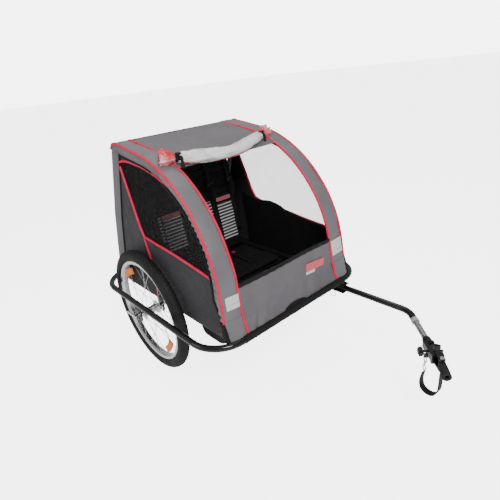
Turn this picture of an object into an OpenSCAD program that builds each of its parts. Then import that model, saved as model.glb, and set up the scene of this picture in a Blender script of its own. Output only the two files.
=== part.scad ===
// Two-seat child bicycle trailer: steel base loop, two 20 inch wheels, folding canopy,
// hinged seat back and a side-mounted tow bar with a clamp and a swivelling coupler.
// +X is the direction of travel, +Y is left, +Z is up and the wheels stand on z = 0.
// Part positions are measured from the wheel axle along X and from the ground along Z.

/* [Wheels] */
// Outer diameter of the tyre
wheel_d = 500; // [480:1:510]
// Width of the tyre
tyre_w = 47; // [40:1:50]
// Distance from the middle of the trailer to the middle of each wheel
wheel_y = 322; // [322:1:324]
// Spokes in each wheel, a multiple of four
spoke_count = 28; // [20:4:36]

/* [Base frame] */
// Height of the base loop's centre line
base_h = 302; // [296:1:308]
// Front tube, ahead of the axle
front_x = 493; // [485:1:500]
// Rear tube, behind the axle
rear_x = 323; // [318:1:330]
// Side rails, from the middle of the trailer
rail_y = 371.5; // [371:0.5:373]
// Diameter of the base loop's tube
tube_d = 22; // [20:1:23]
// Bend radius of the front corners
front_bend = 110; // [100:5:120]
// Bend radius of the rear corners
rear_bend = 130; // [120:5:140]

/* [Canopy] */
// Top of the canopy above the ground
canopy_top = 886; // [870:1:900]
// Half width of the canopy at the base
half_w_low = 303; // [298:1:305]
// Inward slope of the canopy sides, per millimetre of height
side_slope = 0.0445; // [0.03:0.0005:0.05]
// Half width of the front opening at the base
open_w_low = 229; // [220:1:235]
// Inward slope of the opening's sides
open_slope = 0.024; // [0.01:0.001:0.03]
// Radius of the canopy's front curve
front_curve = 457; // [430:1:470]
// Thickness of the fabric walls
cloth = 4; // [3:0.5:5]
// Top edge of the front panel
front_panel_top = 464; // [440:1:480]

/* [Seat] */
// Length of the seat back's frame, from its hinge
back_len = 468; // [460:1:472]
// Forward lean of the seat back's frame
back_lean = 15; // [13:0.5:16]
// Backward lean of the seat back's fabric, which hangs from that frame
seat_lean = 8.5; // [7:0.5:9]
// Height of the seat back's fabric, along its slope
seat_len = 450; // [430:1:452]
// Depth of the footwell below the base loop
well_depth = 95; // [85:1:110]

/* [Tow bar] */
// Height of the tow bar's centre line
bar_h = 262; // [260:0.5:263]
// Length of the straight part ahead of the bolt
bar_straight = 275; // [260:1:285]
// Angle of the bend towards the bicycle
bar_bend = 44; // [40:1:48]
// Length of the steel tube that shows past the black one
bar_steel = 107; // [90:1:120]
// Diameter of the stay that the clamp takes
stay_d = 26; // [22:1:26]

/* [Hidden] */

// The origin is midway between the rear tube and the coupler's end, on the ground.
bar_pivot = [485, 262];
bar_corner = [bar_pivot[0] + bar_straight, bar_pivot[1]];
bar_lead = 62;
bar_radius = 70;
hitch_s = bar_lead + bar_steel;
coupler_yaw = -7;
coupler_pivot = 106;
coupler_len = 54;
coupler_r = 13;
hitch_pos = [bar_corner[0] + hitch_s * cos(bar_bend), bar_corner[1] - hitch_s * sin(bar_bend)];
coupler_dir = -bar_bend + coupler_yaw;
reach = hitch_pos[0] + coupler_pivot * cos(bar_bend) + coupler_len * cos(coupler_dir)
  - coupler_r * sin(coupler_dir);
axle_x = -(reach - rear_x - tube_d / 2) / 2;

axle_h = wheel_d / 2;
tube_r = tube_d / 2;
gap = 0.3;
bead_r = 209;
side_tube_y = 259;
well_x = [229, 455];

hoop_r = 8;
hoop_pivot = [445, 331];
back_r = 9;
back_pivot = [-235, 356];
back_y = 234;
latch_s = 436;
stub_end = along_back(latch_s);
seat_foot = [-35, 345];
side_inset = 10;

$fn = 48;

// ---------- functions ----------
function unit(v) = v / norm(v);
function corner_half(a, b, c) = acos(unit(a - b) * unit(c - b)) / 2;
function trim(a, b, c, r) = r <= 0 ? 0 : r / tan(corner_half(a, b, c));
// Points along a fillet of radius r at b, in any number of dimensions
function fillet(a, b, c, r, n) = r <= 0 ? [b] :
  let (u = unit(a - b), v = unit(c - b), h = corner_half(a, b, c),
       mid = b + unit(u + v) * r / sin(h), from = b + u * r / tan(h), e = unit(from - mid))
  [for (i = [0:n]) let (t = (180 - 2 * h) * i / n) mid + r * (cos(t) * e - sin(t) * u)];
// An open line through the points, rounded at each inner one
function rounded(p, r, n = 12) = [p[0],
  for (i = [1:len(p) - 2]) each fillet(p[i - 1], p[i], p[i + 1], r[i - 1], n), p[len(p) - 1]];
function half_w(z) = half_w_low - side_slope * (z - base_h);
function open_w(z) = open_w_low - open_slope * (z - base_h);
function side_y(z) = half_w(z) - side_inset;
function hoop_y(z) = side_y(z) - cloth - hoop_r - 1;
// Inward normals of a line, for giving a sheet its thickness
function heading(p, i) = unit(p[min(i + 1, len(p) - 1)] - p[max(i - 1, 0)]);
function inset_line(p, t) = [for (i = [0:len(p) - 1])
  let (h = heading(p, i)) p[i] + t * [-h[1], h[0]]];

// Canopy outline in side view: front bottom, brow and rear top
front_foot = [469, base_h + tube_r + 3];
brow_corner = [421, 797];
rear_top = [-108, canopy_top];
rear_mid = [-205, 600];
rear_foot = [-272, base_h + tube_r + 3];
outline = rounded([front_foot, brow_corner, rear_top, rear_mid, rear_foot],
  [front_curve, 36, 500], 14);
roof_line = [for (p = outline) if (p[1] > 805 && p[0] < 216 && p[0] > -95) p];
strip_line = [for (p = outline) if (p[0] > -95) p];
rear_line = [for (p = outline) if (p[0] < -100) p];

// ---------- helpers ----------
module at_axle() { translate([axle_x, 0, 0]) children(); }
module sided(side) { mirror([0, side < 0 ? 1 : 0, 0]) children(); }

// A solid rod between two points
module rod(p, q, r) {
  d = q - p;
  translate(p) rotate([0, acos(d[2] / norm(d)), atan2(d[1], d[0])]) cylinder(r = r, h = norm(d));
}

// One bend of a tube, between the lines a-b and b-c
module bend(a, b, c, r, tube) {
  u = unit(a - b);
  h = corner_half(a, b, c);
  mid = b + unit(u + unit(c - b)) * r / sin(h);
  x = unit(b + u * r / tan(h) - mid);
  z = cross(x, -u);
  multmatrix([[x[0], -u[0], z[0], mid[0]], [x[1], -u[1], z[1], mid[1]],
              [x[2], -u[2], z[2], mid[2]], [0, 0, 0, 1]])
    rotate_extrude(angle = 180 - 2 * h) translate([r, 0]) circle(tube);
}

// A low weld bead over the joint of a straight run and a bend
module bead(p, u, tube) { rod(p - 2 * u, p + 2 * u, tube + 0.4); }

// A round tube through points, bent with the given radii at the inner ones
module bent_tube(p, r, tube) {
  n = len(p);
  for (i = [0:n - 2]) {
    u = unit(p[i + 1] - p[i]);
    a = i == 0 ? 0 : trim(p[i - 1], p[i], p[i + 1], r[i - 1]);
    b = i == n - 2 ? 0 : trim(p[i], p[i + 1], p[i + 2], r[i]);
    rod(p[i] + a * u, p[i + 1] - b * u, tube);
    if (i > 0) bead(p[i] + a * u, u, tube);
    if (i < n - 2) bead(p[i + 1] - b * u, u, tube);
  }
  for (i = [1:n - 2]) bend(p[i - 1], p[i], p[i + 1], r[i - 1], tube);
}

// A curved sheet: the line gives x and z, lo and hi give the two edges' y at each point
module sheet(line, lo, hi, t) {
  back = inset_line(line, t);
  n = len(line);
  points = [for (i = [0:n - 1]) each [
    [line[i][0], lo[i], line[i][1]], [line[i][0], hi[i], line[i][1]],
    [back[i][0], hi[i], back[i][1]], [back[i][0], lo[i], back[i][1]]]];
  faces = [[0, 1, 2, 3], [for (k = [3:-1:0]) 4 * (n - 1) + k],
    for (i = [0:n - 2], k = [0:3])
      [4 * i + k, 4 * i + 4 + k, 4 * i + 4 + (k + 1) % 4, 4 * i + (k + 1) % 4]];
  polyhedron(points, faces);
}

// A flat cord or strap: a rectangle swept along a route, its width along w
module strap(route, w, t) {
  n = len(route);
  points = [for (i = [0:n - 1])
    let (h = unit(route[min(i + 1, n - 1)] - route[max(i - 1, 0)]), s = unit(cross(w, h)) * t / 2)
    each [route[i] - w / 2 - s, route[i] + w / 2 - s, route[i] + w / 2 + s, route[i] - w / 2 + s]];
  faces = [[0, 1, 2, 3], [for (k = [3:-1:0]) 4 * (n - 1) + k],
    for (i = [0:n - 2], k = [0:3])
      [4 * i + k, 4 * i + 4 + k, 4 * i + 4 + (k + 1) % 4, 4 * i + (k + 1) % 4]];
  polyhedron(points, faces);
}

// A plate in the XZ plane with rounded corners, from y to y + t
module side_plate(x0, x1, z0, z1, y, t, r = 4) {
  translate([0, y + t, 0]) rotate([90, 0, 0]) linear_extrude(t) {
    translate([x0 + r, z0]) square([x1 - x0 - 2 * r, z1 - z0]);
    translate([x0, z0 + r]) square([x1 - x0, z1 - z0 - 2 * r]);
    for (x = [x0 + r, x1 - r], z = [z0 + r, z1 - r]) translate([x, z]) circle(r);
  }
}

// ---------- base frame ----------
module base_loop() {
  color("#1b1b1d") at_axle() {
    f = front_x;
    r = -rear_x;
    bent_tube([[0, rail_y, base_h], [f, rail_y, base_h], [f, -rail_y, base_h],
               [r, -rail_y, base_h], [r, rail_y, base_h], [0, rail_y, base_h]],
              [front_bend, front_bend, rear_bend, rear_bend], tube_r);
  }
}

module inner_tube(side) {
  color("#1b1b1d") at_axle() sided(side)
    rod([-rear_x + tube_r + 3.4, side_tube_y, base_h], [front_x - tube_r - 0.8, side_tube_y, base_h], tube_r);
}

module seat_cross_tube() {
  color("#1b1b1d") at_axle() rod([205, -side_tube_y + tube_r + gap, base_h],
    [205, side_tube_y - tube_r - gap, base_h], 9.5);
}

// A plate that hangs from a tube and takes the axle in a slot open at the bottom
module dropout(y, t, top) {
  difference() {
    union() {
      side_plate(-22, 22, axle_h - 18, top, y, t);
      side_plate(-16, 16, axle_h - 26, top - 8, y, t);
    }
    translate([0, y - 1, axle_h]) rotate([-90, 0, 0]) cylinder(r = 5.2, h = t + 2);
    translate([-5.2, y - 1, axle_h - 40]) cube([10.4, t + 2, 40]);
    translate([-50, rail_y, base_h]) rotate([0, 90, 0]) cylinder(r = tube_r + 0.1, h = 100);
  }
}
module dropouts(side) {
  color("#232325") at_axle() sided(side) {
    dropout(wheel_y + 48, 4, base_h - 4);
    dropout(wheel_y - 52, 4, base_h + 8);
  }
}

// The front hinge of a canopy hoop: a foot on the inner tube and two ears
module hoop_bracket(side) {
  y = hoop_y(hoop_pivot[1]);
  x = hoop_pivot[0];
  top = base_h + tube_r + 0.2;
  color("#151516") at_axle() sided(side) difference() {
    union() {
      translate([x - 26, 250, top]) cube([37, y + 14 - 250, 4]);
      side_plate(x - 16, x + 11, top, top + 30, y - 14, 4.3, 6);
      side_plate(x - 16, x + 11, top, top + 30, y + 9.7, 4.3, 6);
    }
    translate([x, 240, hoop_pivot[1]]) rotate([-90, 0, 0]) cylinder(r = 4.05, h = 60);
  }
}

// Two ears that carry the seat back's hinge
module back_brackets() {
  top = base_h + tube_r + 0.2;
  color("#151516") at_axle() for (side = [-1, 1]) sided(side) difference() {
    union() {
      side_plate(back_pivot[0] - 16, back_pivot[0] + 16, top, back_pivot[1] + 14,
                 back_y + back_r + 1, 4, 6);
      translate([back_pivot[0] - 16, back_y + back_r + 1, top]) cube([32, 24, 4]);
    }
    translate([back_pivot[0], 200, back_pivot[1]]) rotate([-90, 0, 0]) cylinder(r = 4.05, h = 80);
  }
}

// Clevis under the inner tube that holds the tow bar
module tow_bracket() {
  x = bar_pivot[0];
  y = bar_pivot[1];
  low = bar_h - tube_r - 5.5;
  high = bar_h + tube_r + 1.5;
  color("#151516") at_axle() difference() {
    union() {
      for (z = [low, high]) translate([x - 65, y - 18, z]) cube([83, 36, 4]);
      translate([x - 60, y - 18, low]) cube([30, 4, high - low + 4]);
      translate([x - 60, side_tube_y - 12, high]) cube([50, 24, base_h - 4 - high]);
    }
    translate([x - 100, side_tube_y, base_h]) rotate([0, 90, 0]) cylinder(r = tube_r + 0.1, h = 140);
    translate([x, y, low - 1]) cylinder(r = 4.05, h = high - low + 6);
    translate([x - 45, y, low - 1]) cylinder(r = 3.55, h = high - low + 6);
    translate([x - 52, y - 7, high + 4]) cube([14, 14, 6]);
  }
}

module bolt(r, length, head_r, head_h) {
  cylinder(r = r, h = length);
  translate([0, 0, -head_h]) cylinder(r = head_r, h = head_h);
  translate([0, 0, length]) cylinder(r = head_r * 0.9, h = head_h, $fn = 6);
}
// Hinge bolts of the canopy and the seat back
module frame_bolts() {
  y = hoop_y(hoop_pivot[1]);
  color("silver") at_axle() for (side = [-1, 1]) sided(side) {
    translate([hoop_pivot[0], y - 14.2, hoop_pivot[1]]) rotate([-90, 0, 0]) bolt(4, 28.4, 6.5, 3);
    translate([back_pivot[0], back_y - back_r - 1.5, back_pivot[1]])
      rotate([-90, 0, 0]) bolt(4, 24.7, 6.5, 3);
  }
}

module tow_pivot_bolt() {
  low = bar_h - tube_r - 5.7;
  color("silver") at_axle() translate([bar_pivot[0], bar_pivot[1], low])
    bolt(4, 2 * tube_r + 11.4, 7, 4);
}

// ---------- floor and seat ----------
module floor_panel() {
  w = side_tube_y - tube_r - 2;
  color("#18181a") at_axle() {
    difference() {
      translate([-rear_x + 20, -w, base_h - 3]) cube([rear_x - 20 + well_x[0] - 2, 2 * w, 4]);
      translate([190, -300, base_h - 12]) cube([30, 600, 24]);
    }
    translate([well_x[1] + 2, -w, base_h - 3]) cube([24, 2 * w, 4]);
  }
}

module footwell() {
  w = side_tube_y - tube_r - 6;
  t = cloth;
  low = base_h - well_depth;
  color("#141415") at_axle() difference() {
    translate([0, w, 0]) rotate([90, 0, 0]) linear_extrude(2 * w)
      polygon([[well_x[0], base_h], [well_x[0] + 8, low], [well_x[1] - 110, low],
               [well_x[1] - 8, base_h - 30], [well_x[1], base_h]]);
    translate([0, w - t, 0]) rotate([90, 0, 0]) linear_extrude(2 * (w - t))
      polygon([[well_x[0] + t, base_h + 1], [well_x[0] + 8 + t, low + t],
               [well_x[1] - 110 - 0.3 * t, low + t],
               [well_x[1] - 8 - 1.15 * t, base_h - 30 + 0.55 * t], [well_x[1] - t, base_h + 1]]);
  }
}

module front_panel() {
  line = [for (z = [front_foot[1], front_panel_top])
    [front_foot[0] - (z - front_foot[1]) * 0.0998, z]];
  color("#77757a") at_axle()
    sheet(line, [for (p = line) -open_w(p[1]) + gap], [for (p = line) open_w(p[1]) - gap], cloth);
}

module seat_base() {
  color("#18181a") at_axle() translate([-30, -218, 315]) cube([222, 436, 18]);
}

// Buckled lap belts lying on the seat
module lap_belts() {
  color("#111111") at_axle() for (y = [-108, 108]) {
    translate([0, y - 60, 333.4]) cube([25, 120, 2]);
    translate([25, y - 12.5, 333.4]) cube([130, 25, 2]);
    translate([-6, y - 18, 335.8]) cube([36, 36, 10]);
  }
}

// ---------- wheels ----------
module at_wheel(side) { at_axle() sided(side) translate([0, wheel_y, axle_h]) rotate([-90, 0, 0]) children(); }

module tyre(side) {
  r = tyre_w / 2;
  color("#1d1d1f") at_wheel(side) rotate_extrude($fn = 120) difference() {
    translate([wheel_d / 2 - r, 0]) circle(r);
    translate([bead_r - 40, -30]) square([40, 60]);
  }
}

// Box-section rim with a well for the tyre
module rim(side) {
  color("silver") at_wheel(side) rotate_extrude($fn = 120)
    polygon([[194, -6], [197, -13], [208.7, -14], [208.7, -11.5], [203, -10], [203, 10],
             [208.7, 11.5], [208.7, 14], [197, 13], [194, 6]]);
}

module hub(side) {
  half = wheel_y - 280.3;
  color("silver") at_wheel(side) difference() {
    rotate_extrude()
      polygon([[0, -half], [9, -half], [11, -33], [27, -30], [28, -28], [16, -24], [13, 0],
               [16, 24], [28, 28], [27, 30], [11, 33], [9, half], [0, half]]);
    translate([0, 0, -60]) cylinder(r = 5.06, h = 120);
  }
}

// Crossed spokes, half from each flange
module spokes(side) {
  n = spoke_count / 4;
  color("silver") at_wheel(side) for (k = [0:n - 1], face = [-1, 1], lean = [-1, 1]) {
    a = 360 * k / n + (face + 1) * 90 / n;
    b = a + lean * 52 + lean * 90 / n / 2;
    rod([29.5 * cos(a), 29.5 * sin(a), face * (27 + 1.3 * lean)],
        [193.8 * cos(b), 193.8 * sin(b), face * (3 + lean)], 0.9);
  }
}

// Two reflectors clipped to the spokes, on the wheel's outer face
module reflectors(side) {
  color("darkorange") at_wheel(side) for (a = [121, -40]) rotate([0, 0, -a]) translate([0, 0, 12])
    rotate([0, 0, -15]) rotate_extrude(angle = 30) translate([156, 0]) square([27, 5]);
}

// Hollow axle with its locknuts
module axle(side) {
  color("silver") at_wheel(side) difference() {
    union() {
      translate([0, 0, -54]) cylinder(r = 5, h = 108);
      for (z = [-47.7, 42]) translate([0, 0, z]) cylinder(r = 8.5, h = 5.6);
    }
    translate([0, 0, -60]) cylinder(r = 2.65, h = 120);
  }
}

// Quick-release skewer: rod, inner nut and the fork that holds the lever
module skewer(side) {
  color("silver") at_wheel(side) {
    translate([0, 0, -64]) cylinder(r = 2.5, h = 123);
    translate([0, 0, -64]) cylinder(r = 8, h = 9.6);
    difference() {
      translate([0, 0, 54.2]) cylinder(r = 9, h = 17);
      translate([-20, -4, 60]) cube([40, 8, 20]);
    }
  }
}
module qr_lever(side) {
  color("#b9bcc0") at_wheel(side) rotate([0, 0, 90]) {
    translate([-3.7, 0, 66]) rotate([0, 90, 0]) cylinder(r = 4.6, h = 7.4);
    translate([-3.7, 0, 66.4]) cube([7.4, 16, 4]);
    translate([-5, 14, 66]) cube([10, 44, 5]);
    translate([0, 58, 66]) cylinder(r = 5, h = 5);
  }
}

// ---------- canopy ----------
function inset_corner(a, b, c, t) = b + unit(unit(a - b) + unit(c - b)) * t / sin(corner_half(a, b, c));
hoop_inset = cloth + hoop_r + 3;
hoop_brow = inset_corner(front_foot, brow_corner, rear_top, hoop_inset);
hoop_rear = inset_corner(brow_corner, rear_top, rear_mid, hoop_inset);
arc_mid = inset_corner(front_foot, brow_corner, rear_top, front_curve);
brow_angle = 67;
brow_pos = arc_mid + (front_curve - hoop_inset) * [cos(brow_angle), sin(brow_angle)];
roll_r = 20;
roll_pos = arc_mid + (front_curve + roll_r + 3) * [cos(brow_angle), sin(brow_angle)];

// One side hoop: hinge boss, bent tube and the open fork that hooks the seat back's pin
module hoop(side) {
  foot = hoop_pivot + 9 * unit(hoop_brow - hoop_pivot);
  line = [foot, hoop_brow, hoop_rear, stub_end];
  fork_y = back_y + back_r + 1.6;
  color("#1b1b1d") at_axle() sided(side) {
    bent_tube([for (p = line) [p[0], hoop_y(p[1]), p[1]]], [front_curve - hoop_inset, 24], hoop_r);
    difference() {
      translate([hoop_pivot[0], hoop_y(hoop_pivot[1]) - 7, hoop_pivot[1]])
        rotate([-90, 0, 0]) cylinder(r = 11, h = 14);
      translate([hoop_pivot[0], 240, hoop_pivot[1]]) rotate([-90, 0, 0]) cylinder(r = 4.05, h = 60);
    }
    difference() {
      side_plate(stub_end[0] - 15, stub_end[0] + 12, stub_end[1] - 12, stub_end[1] + 12, fork_y, 7.4, 4);
      translate([stub_end[0], fork_y - 1, stub_end[1]]) rotate([-90, 0, 0]) cylinder(r = 4.4, h = 9);
      translate([stub_end[0], fork_y + 8, stub_end[1]]) rotate([90, 0, 0]) linear_extrude(9)
        polygon([[-1, -4.3], [20, -5], [20, 14], [-1, 4.3]]);
    }
  }
}

module cross_bar(p) {
  w = hoop_y(p[1]) - hoop_r - gap;
  color("#1b1b1d") at_axle() rod([p[0], -w, p[1]], [p[0], w, p[1]], hoop_r);
}

module roof_panel() {
  color("#77757a") at_axle() sheet(roof_line, [for (p = roof_line) -open_w(p[1]) + gap],
    [for (p = roof_line) open_w(p[1]) - gap], cloth);
}

module strip(side) {
  color("#8a888d") at_axle() sided(side) sheet(strip_line, [for (p = strip_line) open_w(p[1]) + gap],
    [for (p = strip_line) half_w(p[1])], cloth);
}

// A flat part of the leaning side wall
module side_wall(side) {
  at_axle() sided(side) translate([0, side_y(base_h), base_h]) rotate([atan(side_slope), 0, 0])
    translate([0, 0, -base_h]) rotate([90, 0, 0]) linear_extrude(cloth) intersection() {
      polygon(inset_line(outline, cloth + 0.6));
      children();
    }
}
// Height of the opening around the front hinge
wall_gap = 54;
// The line from the hinge to the rear top parts the stiff upper wall from the loose lower one
chord_rear = hoop_pivot + 1.2 * (rear_top - hoop_pivot);
module side_upper(side) {
  color("#3c3b3f") side_wall(side) difference() {
    polygon([hoop_pivot + [0, 0.4], chord_rear + [0, 0.4], [600, 1200], [600, 331]]);
    translate([418, 300]) square([100, wall_gap]);
  }
}
module side_lower(side) {
  color("#2f2e31") side_wall(side) difference() {
    polygon([hoop_pivot - [0, 0.4], chord_rear - [0, 0.4], [-600, 1000], [-600, 290], [445, 290]]);
    translate([418, 250]) square([100, 50 + wall_gap]);
  }
}

module rear_panel() {
  color("#4a494d") at_axle() sheet(rear_line, [for (p = rear_line) cloth + 0.6 - side_y(p[1])],
    [for (p = rear_line) side_y(p[1]) - cloth - 0.6], cloth);
}

// The clear front cover, rolled up on the brow, and its two ties
module cover_roll() {
  color("#e8e3e6") at_axle() rod([roll_pos[0], -216, roll_pos[1]], [roll_pos[0], 216, roll_pos[1]], roll_r);
}
module roll_ties() {
  color("#111111") at_axle() for (y = [-196, 184]) translate([roll_pos[0], y, roll_pos[1]])
    rotate([-90, 0, 0]) difference() {
      cylinder(r = roll_r + 2, h = 12);
      translate([0, 0, -1]) cylinder(r = roll_r + 0.3, h = 14);
    }
}

// ---------- seat back ----------
function along_back(s, forward = 0) = back_pivot
  + s * [sin(back_lean), cos(back_lean)] + forward * [cos(back_lean), -sin(back_lean)];
module back_frame() {
  low = along_back(9);
  top = along_back(back_len);
  color("#1b1b1d") at_axle() {
    bent_tube([[low[0], -back_y, low[1]], [top[0], -back_y, top[1]],
               [top[0], back_y, top[1]], [low[0], back_y, low[1]]], [34, 34], back_r);
    for (side = [-1, 1]) sided(side) {
      difference() {
        translate([back_pivot[0], back_y - 8, back_pivot[1]])
          rotate([-90, 0, 0]) cylinder(r = 11, h = 16);
        translate([back_pivot[0], back_y - 20, back_pivot[1]]) rotate([-90, 0, 0]) cylinder(r = 4.05, h = 40);
      }
      rod([stub_end[0], back_y + 4, stub_end[1]], [stub_end[0], back_y + back_r + 6, stub_end[1]], 4);
    }
  }
}

// Places children on the seat back's fabric, s up from its foot and a little ahead of it
module on_seat(s, forward) {
  at_axle() translate([seat_foot[0] - s * sin(seat_lean) + forward * cos(seat_lean), 0,
                       seat_foot[1] + s * cos(seat_lean) + forward * sin(seat_lean)])
    rotate([0, -seat_lean, 0]) children();
}
module seat_back() {
  color("#161617") on_seat(0, -12) translate([0, -222, 0]) cube([12, 444, seat_len]);
}
module shoulder_straps() {
  color("#0f0f10") on_seat(70, 0.4) for (y = [-197, -57, 100, 208])
    translate([0, y - 12.5, 0]) cube([2.2, 25, 370]);
}

// ---------- tow bar and hitch ----------
module tow_bar() {
  tail = [bar_pivot[0] - 60, bar_pivot[1], bar_h];
  c = [bar_corner[0], bar_corner[1], bar_h];
  e = c + bar_lead * [cos(bar_bend), -sin(bar_bend), 0];
  ahead = [trim(tail, c, e, bar_radius), 0, 0];
  color("#1b1b1d") at_axle() {
    difference() {
      rod(tail, c - ahead, tube_r);
      translate([bar_pivot[0], bar_pivot[1], bar_h - 20]) cylinder(r = 4.05, h = 40);
      translate([bar_pivot[0] - 45, bar_pivot[1], bar_h - 20]) cylinder(r = 3.8, h = 40);
      translate([bar_pivot[0] - 49, bar_pivot[1] - 30, bar_h - 20]) cube([10.5, 30, 40]);
    }
    bead(c - ahead, [1, 0, 0], tube_r);
    bend(tail, c, e, bar_radius, tube_r);
    bead(c + norm(ahead) * unit(e - c), unit(e - c), tube_r);
    rod(c + norm(ahead) * unit(e - c), e, tube_r);
  }
}

// Places children at the end of the steel tube, with +X along it
module at_hitch() {
  at_axle() translate([hitch_pos[0], hitch_pos[1], bar_h]) rotate([0, 0, -bar_bend]) children();
}
module tow_extension() {
  color("#c9ccd0") at_hitch() rod([-bar_steel + 0.2, 0, 0], [-10.2, 0, 0], 9.5);
}

jaw_x = 46;
jaw_y = 8;
stay_r = stay_d / 2;
// Cast clamp: socket for the tube, a C for the bicycle's stay and a fork for the coupler
module hitch_yoke() {
  color("#1a1a1c") at_hitch() difference() {
    union() {
      translate([-10, 0, 0]) rotate([0, 90, 0]) cylinder(r = 13, h = 26);
      translate([10, -19, -11]) cube([68, 12, 22]);
      translate([10, -12, -11]) cube([12, 24, 22]);
      translate([jaw_x, jaw_y, -11]) cylinder(r = stay_r + 6, h = 22);
      translate([74, -19, -15]) cube([12, 34, 30]);
      for (z = [-19, 14]) translate([74, -9, z]) cube([34, 18, 5]);
      for (z = [-19, 14]) translate([coupler_pivot, 0, z]) cylinder(r = 9, h = 5);
      translate([ring_a[0] - 2, ring_a[1] - 4.5, ring_a[2] + 5]) cube([4, 17, 15]);
      translate([ring_b[0] - 2, 6, ring_b[2] + 5]) cube([4, 11, 10]);
    }
    translate([jaw_x, jaw_y, -20]) cylinder(r = stay_r, h = 40);
    translate([jaw_x - 9, jaw_y, -20]) cube([18, 40, 40]);
    translate([jaw_x, -30, 0]) rotate([-90, 0, 0]) cylinder(r = 4.05, h = 30);
    translate([jaw_x - 6.3, -9.8, -9.3]) cube([12.6, 6.8, 18.6]);
    translate([ring_a[0] - 5, ring_a[1], ring_a[2] + 10]) rotate([0, 90, 0]) cylinder(r = 2.8, h = 10);
    translate([ring_b[0] - 5, ring_b[1], ring_b[2] + 10]) rotate([0, 90, 0]) cylinder(r = 2.8, h = 10);
    translate([coupler_pivot, 0, -30]) cylinder(r = 4.05, h = 60);
  }
}

// The pad that the screw drives against the stay
module clamp_jaw() {
  color("#3a3a3d") at_hitch() difference() {
    translate([jaw_x - 6, -9.3, -9]) cube([12, 3.9, 18]);
    translate([jaw_x, -14, 0]) rotate([-90, 0, 0]) cylinder(r = 3.05, h = 20);
  }
}

// Six-lobed knob and its screw
module star_knob() {
  color("#101011") at_hitch() translate([jaw_x, 0, 0]) {
    rod([0, -44, 0], [0, -30, 0], 9);
    for (k = [0:5]) rod([10 * cos(60 * k), -42, 10 * sin(60 * k)],
                        [10 * cos(60 * k), -32, 10 * sin(60 * k)], 4.5);
    rod([0, -30, 0], [0, -9.6, 0], 4);
    rod([0, -10, 0], [0, -5.8, 0], 3);
  }
}

// Rubber coupler on a vertical bolt, with a socket for the bicycle's hitch stud
socket_r = 6;
socket_len = 30;
module coupler() {
  color("#131314") at_hitch() translate([coupler_pivot, 0, 0]) rotate([0, 0, coupler_yaw]) difference() {
    union() {
      rod([14, 0, 0], [coupler_len, 0, 0], coupler_r);
      translate([0, 0, -13.6]) cylinder(r = 9, h = 27.2);
      translate([0, -9, -10]) cube([20, 18, 20]);
    }
    translate([0, 0, -30]) cylinder(r = 4.05, h = 60);
    rod([coupler_len - socket_len, 0, 0], [coupler_len + 1, 0, 0], socket_r);
  }
}

// Coupler bolt with its eye, and the rings and snap clip that carry the strap
ring_a = [44, -20, -30];
ring_b = [88, 12, -32];
ring_c = [44, -20, -63];
module hitch_rings() {
  color("silver") at_hitch() {
    translate([coupler_pivot, 0, -19.2]) bolt(4, 38.4, 7.5, 4);
    for (p = [ring_a, ring_b, ring_c]) translate(p) rotate([90, 0, 0])
      rotate_extrude() translate([10, 0]) circle(1.6);
    rod(ring_a - [0, 0, 9], ring_c + [0, 0, 9], 2.6);
  }
}

strap_route = [ring_c + [0, 0, -12.4], [43, -22, -88], [42, -24, -104], [44, -24, -119],
  [50, -21, -132], [58, -14, -140], [67, -6, -142], [76, 1, -138], [83, 7, -128], [87, 11, -112],
  [88, 12, -90], [88, 12, -66], ring_b + [0, 0, -12.4]];
module safety_strap() {
  color("#0e0e0f") at_hitch() strap(strap_route, [15, -17, 0], 2.4);
}

// Pull pin with a wire bail that locks the tow bar
module tow_lock_pin() {
  x = bar_pivot[0] - 45;
  low = bar_h - tube_r - 5.5;
  color("silver") at_axle() translate([x, bar_pivot[1], 0]) {
    translate([0, 0, low - 8]) cylinder(r = 3.5, h = 2 * tube_r + 19);
    translate([0, 0, low - 10]) cylinder(r = 6.5, h = 9.5);
    translate([0, 0, low - 25]) rotate([90, 0, 0]) rotate_extrude() translate([14, 0]) circle(1.2);
  }
}

base_loop();
inner_tube(1);  // inner_tube_left
inner_tube(-1);  // inner_tube_right
seat_cross_tube();
dropouts(1);  // dropouts_left
dropouts(-1);  // dropouts_right
hoop_bracket(1);  // hoop_bracket_left
hoop_bracket(-1);  // hoop_bracket_right
back_brackets();
tow_bracket();
frame_bolts();
floor_panel();
footwell();
front_panel();
seat_base();
lap_belts();
tyre(1);  // tyre_left
tyre(-1);  // tyre_right
rim(1);  // rim_left
rim(-1);  // rim_right
spokes(1);  // spokes_left
spokes(-1);  // spokes_right
hub(1);  // hub_left
hub(-1);  // hub_right
reflectors(1);  // reflectors_left
reflectors(-1);  // reflectors_right
axle(1);  // axle_left
axle(-1);  // axle_right
skewer(1);  // skewer_left
skewer(-1);  // skewer_right
qr_lever(1);  // qr_lever_left
qr_lever(-1);  // qr_lever_right
hoop(1);  // hoop_left
hoop(-1);  // hoop_right
cross_bar(brow_pos);  // brow_bar
cross_bar(hoop_rear + [12, -1]);  // rear_top_bar
roof_panel();
strip(1);  // strip_left
strip(-1);  // strip_right
side_upper(1);  // side_upper_left
side_upper(-1);  // side_upper_right
side_lower(1);  // side_lower_left
side_lower(-1);  // side_lower_right
rear_panel();
cover_roll();
roll_ties();
back_frame();
seat_back();
shoulder_straps();
tow_bar();
tow_extension();
hitch_yoke();
clamp_jaw();
star_knob();
coupler();
hitch_rings();
safety_strap();
tow_lock_pin();
tow_pivot_bolt();
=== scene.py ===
"""Looks for a two-seat child bicycle trailer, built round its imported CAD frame.

Lengths in the outlines below are millimetres, with x from the wheel axle, y from the middle
and z from the ground. at() turns them into the frame's metres."""
import math

import bmesh
import bpy
import numpy as np
from mathutils import Matrix, Vector, noise


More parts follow.
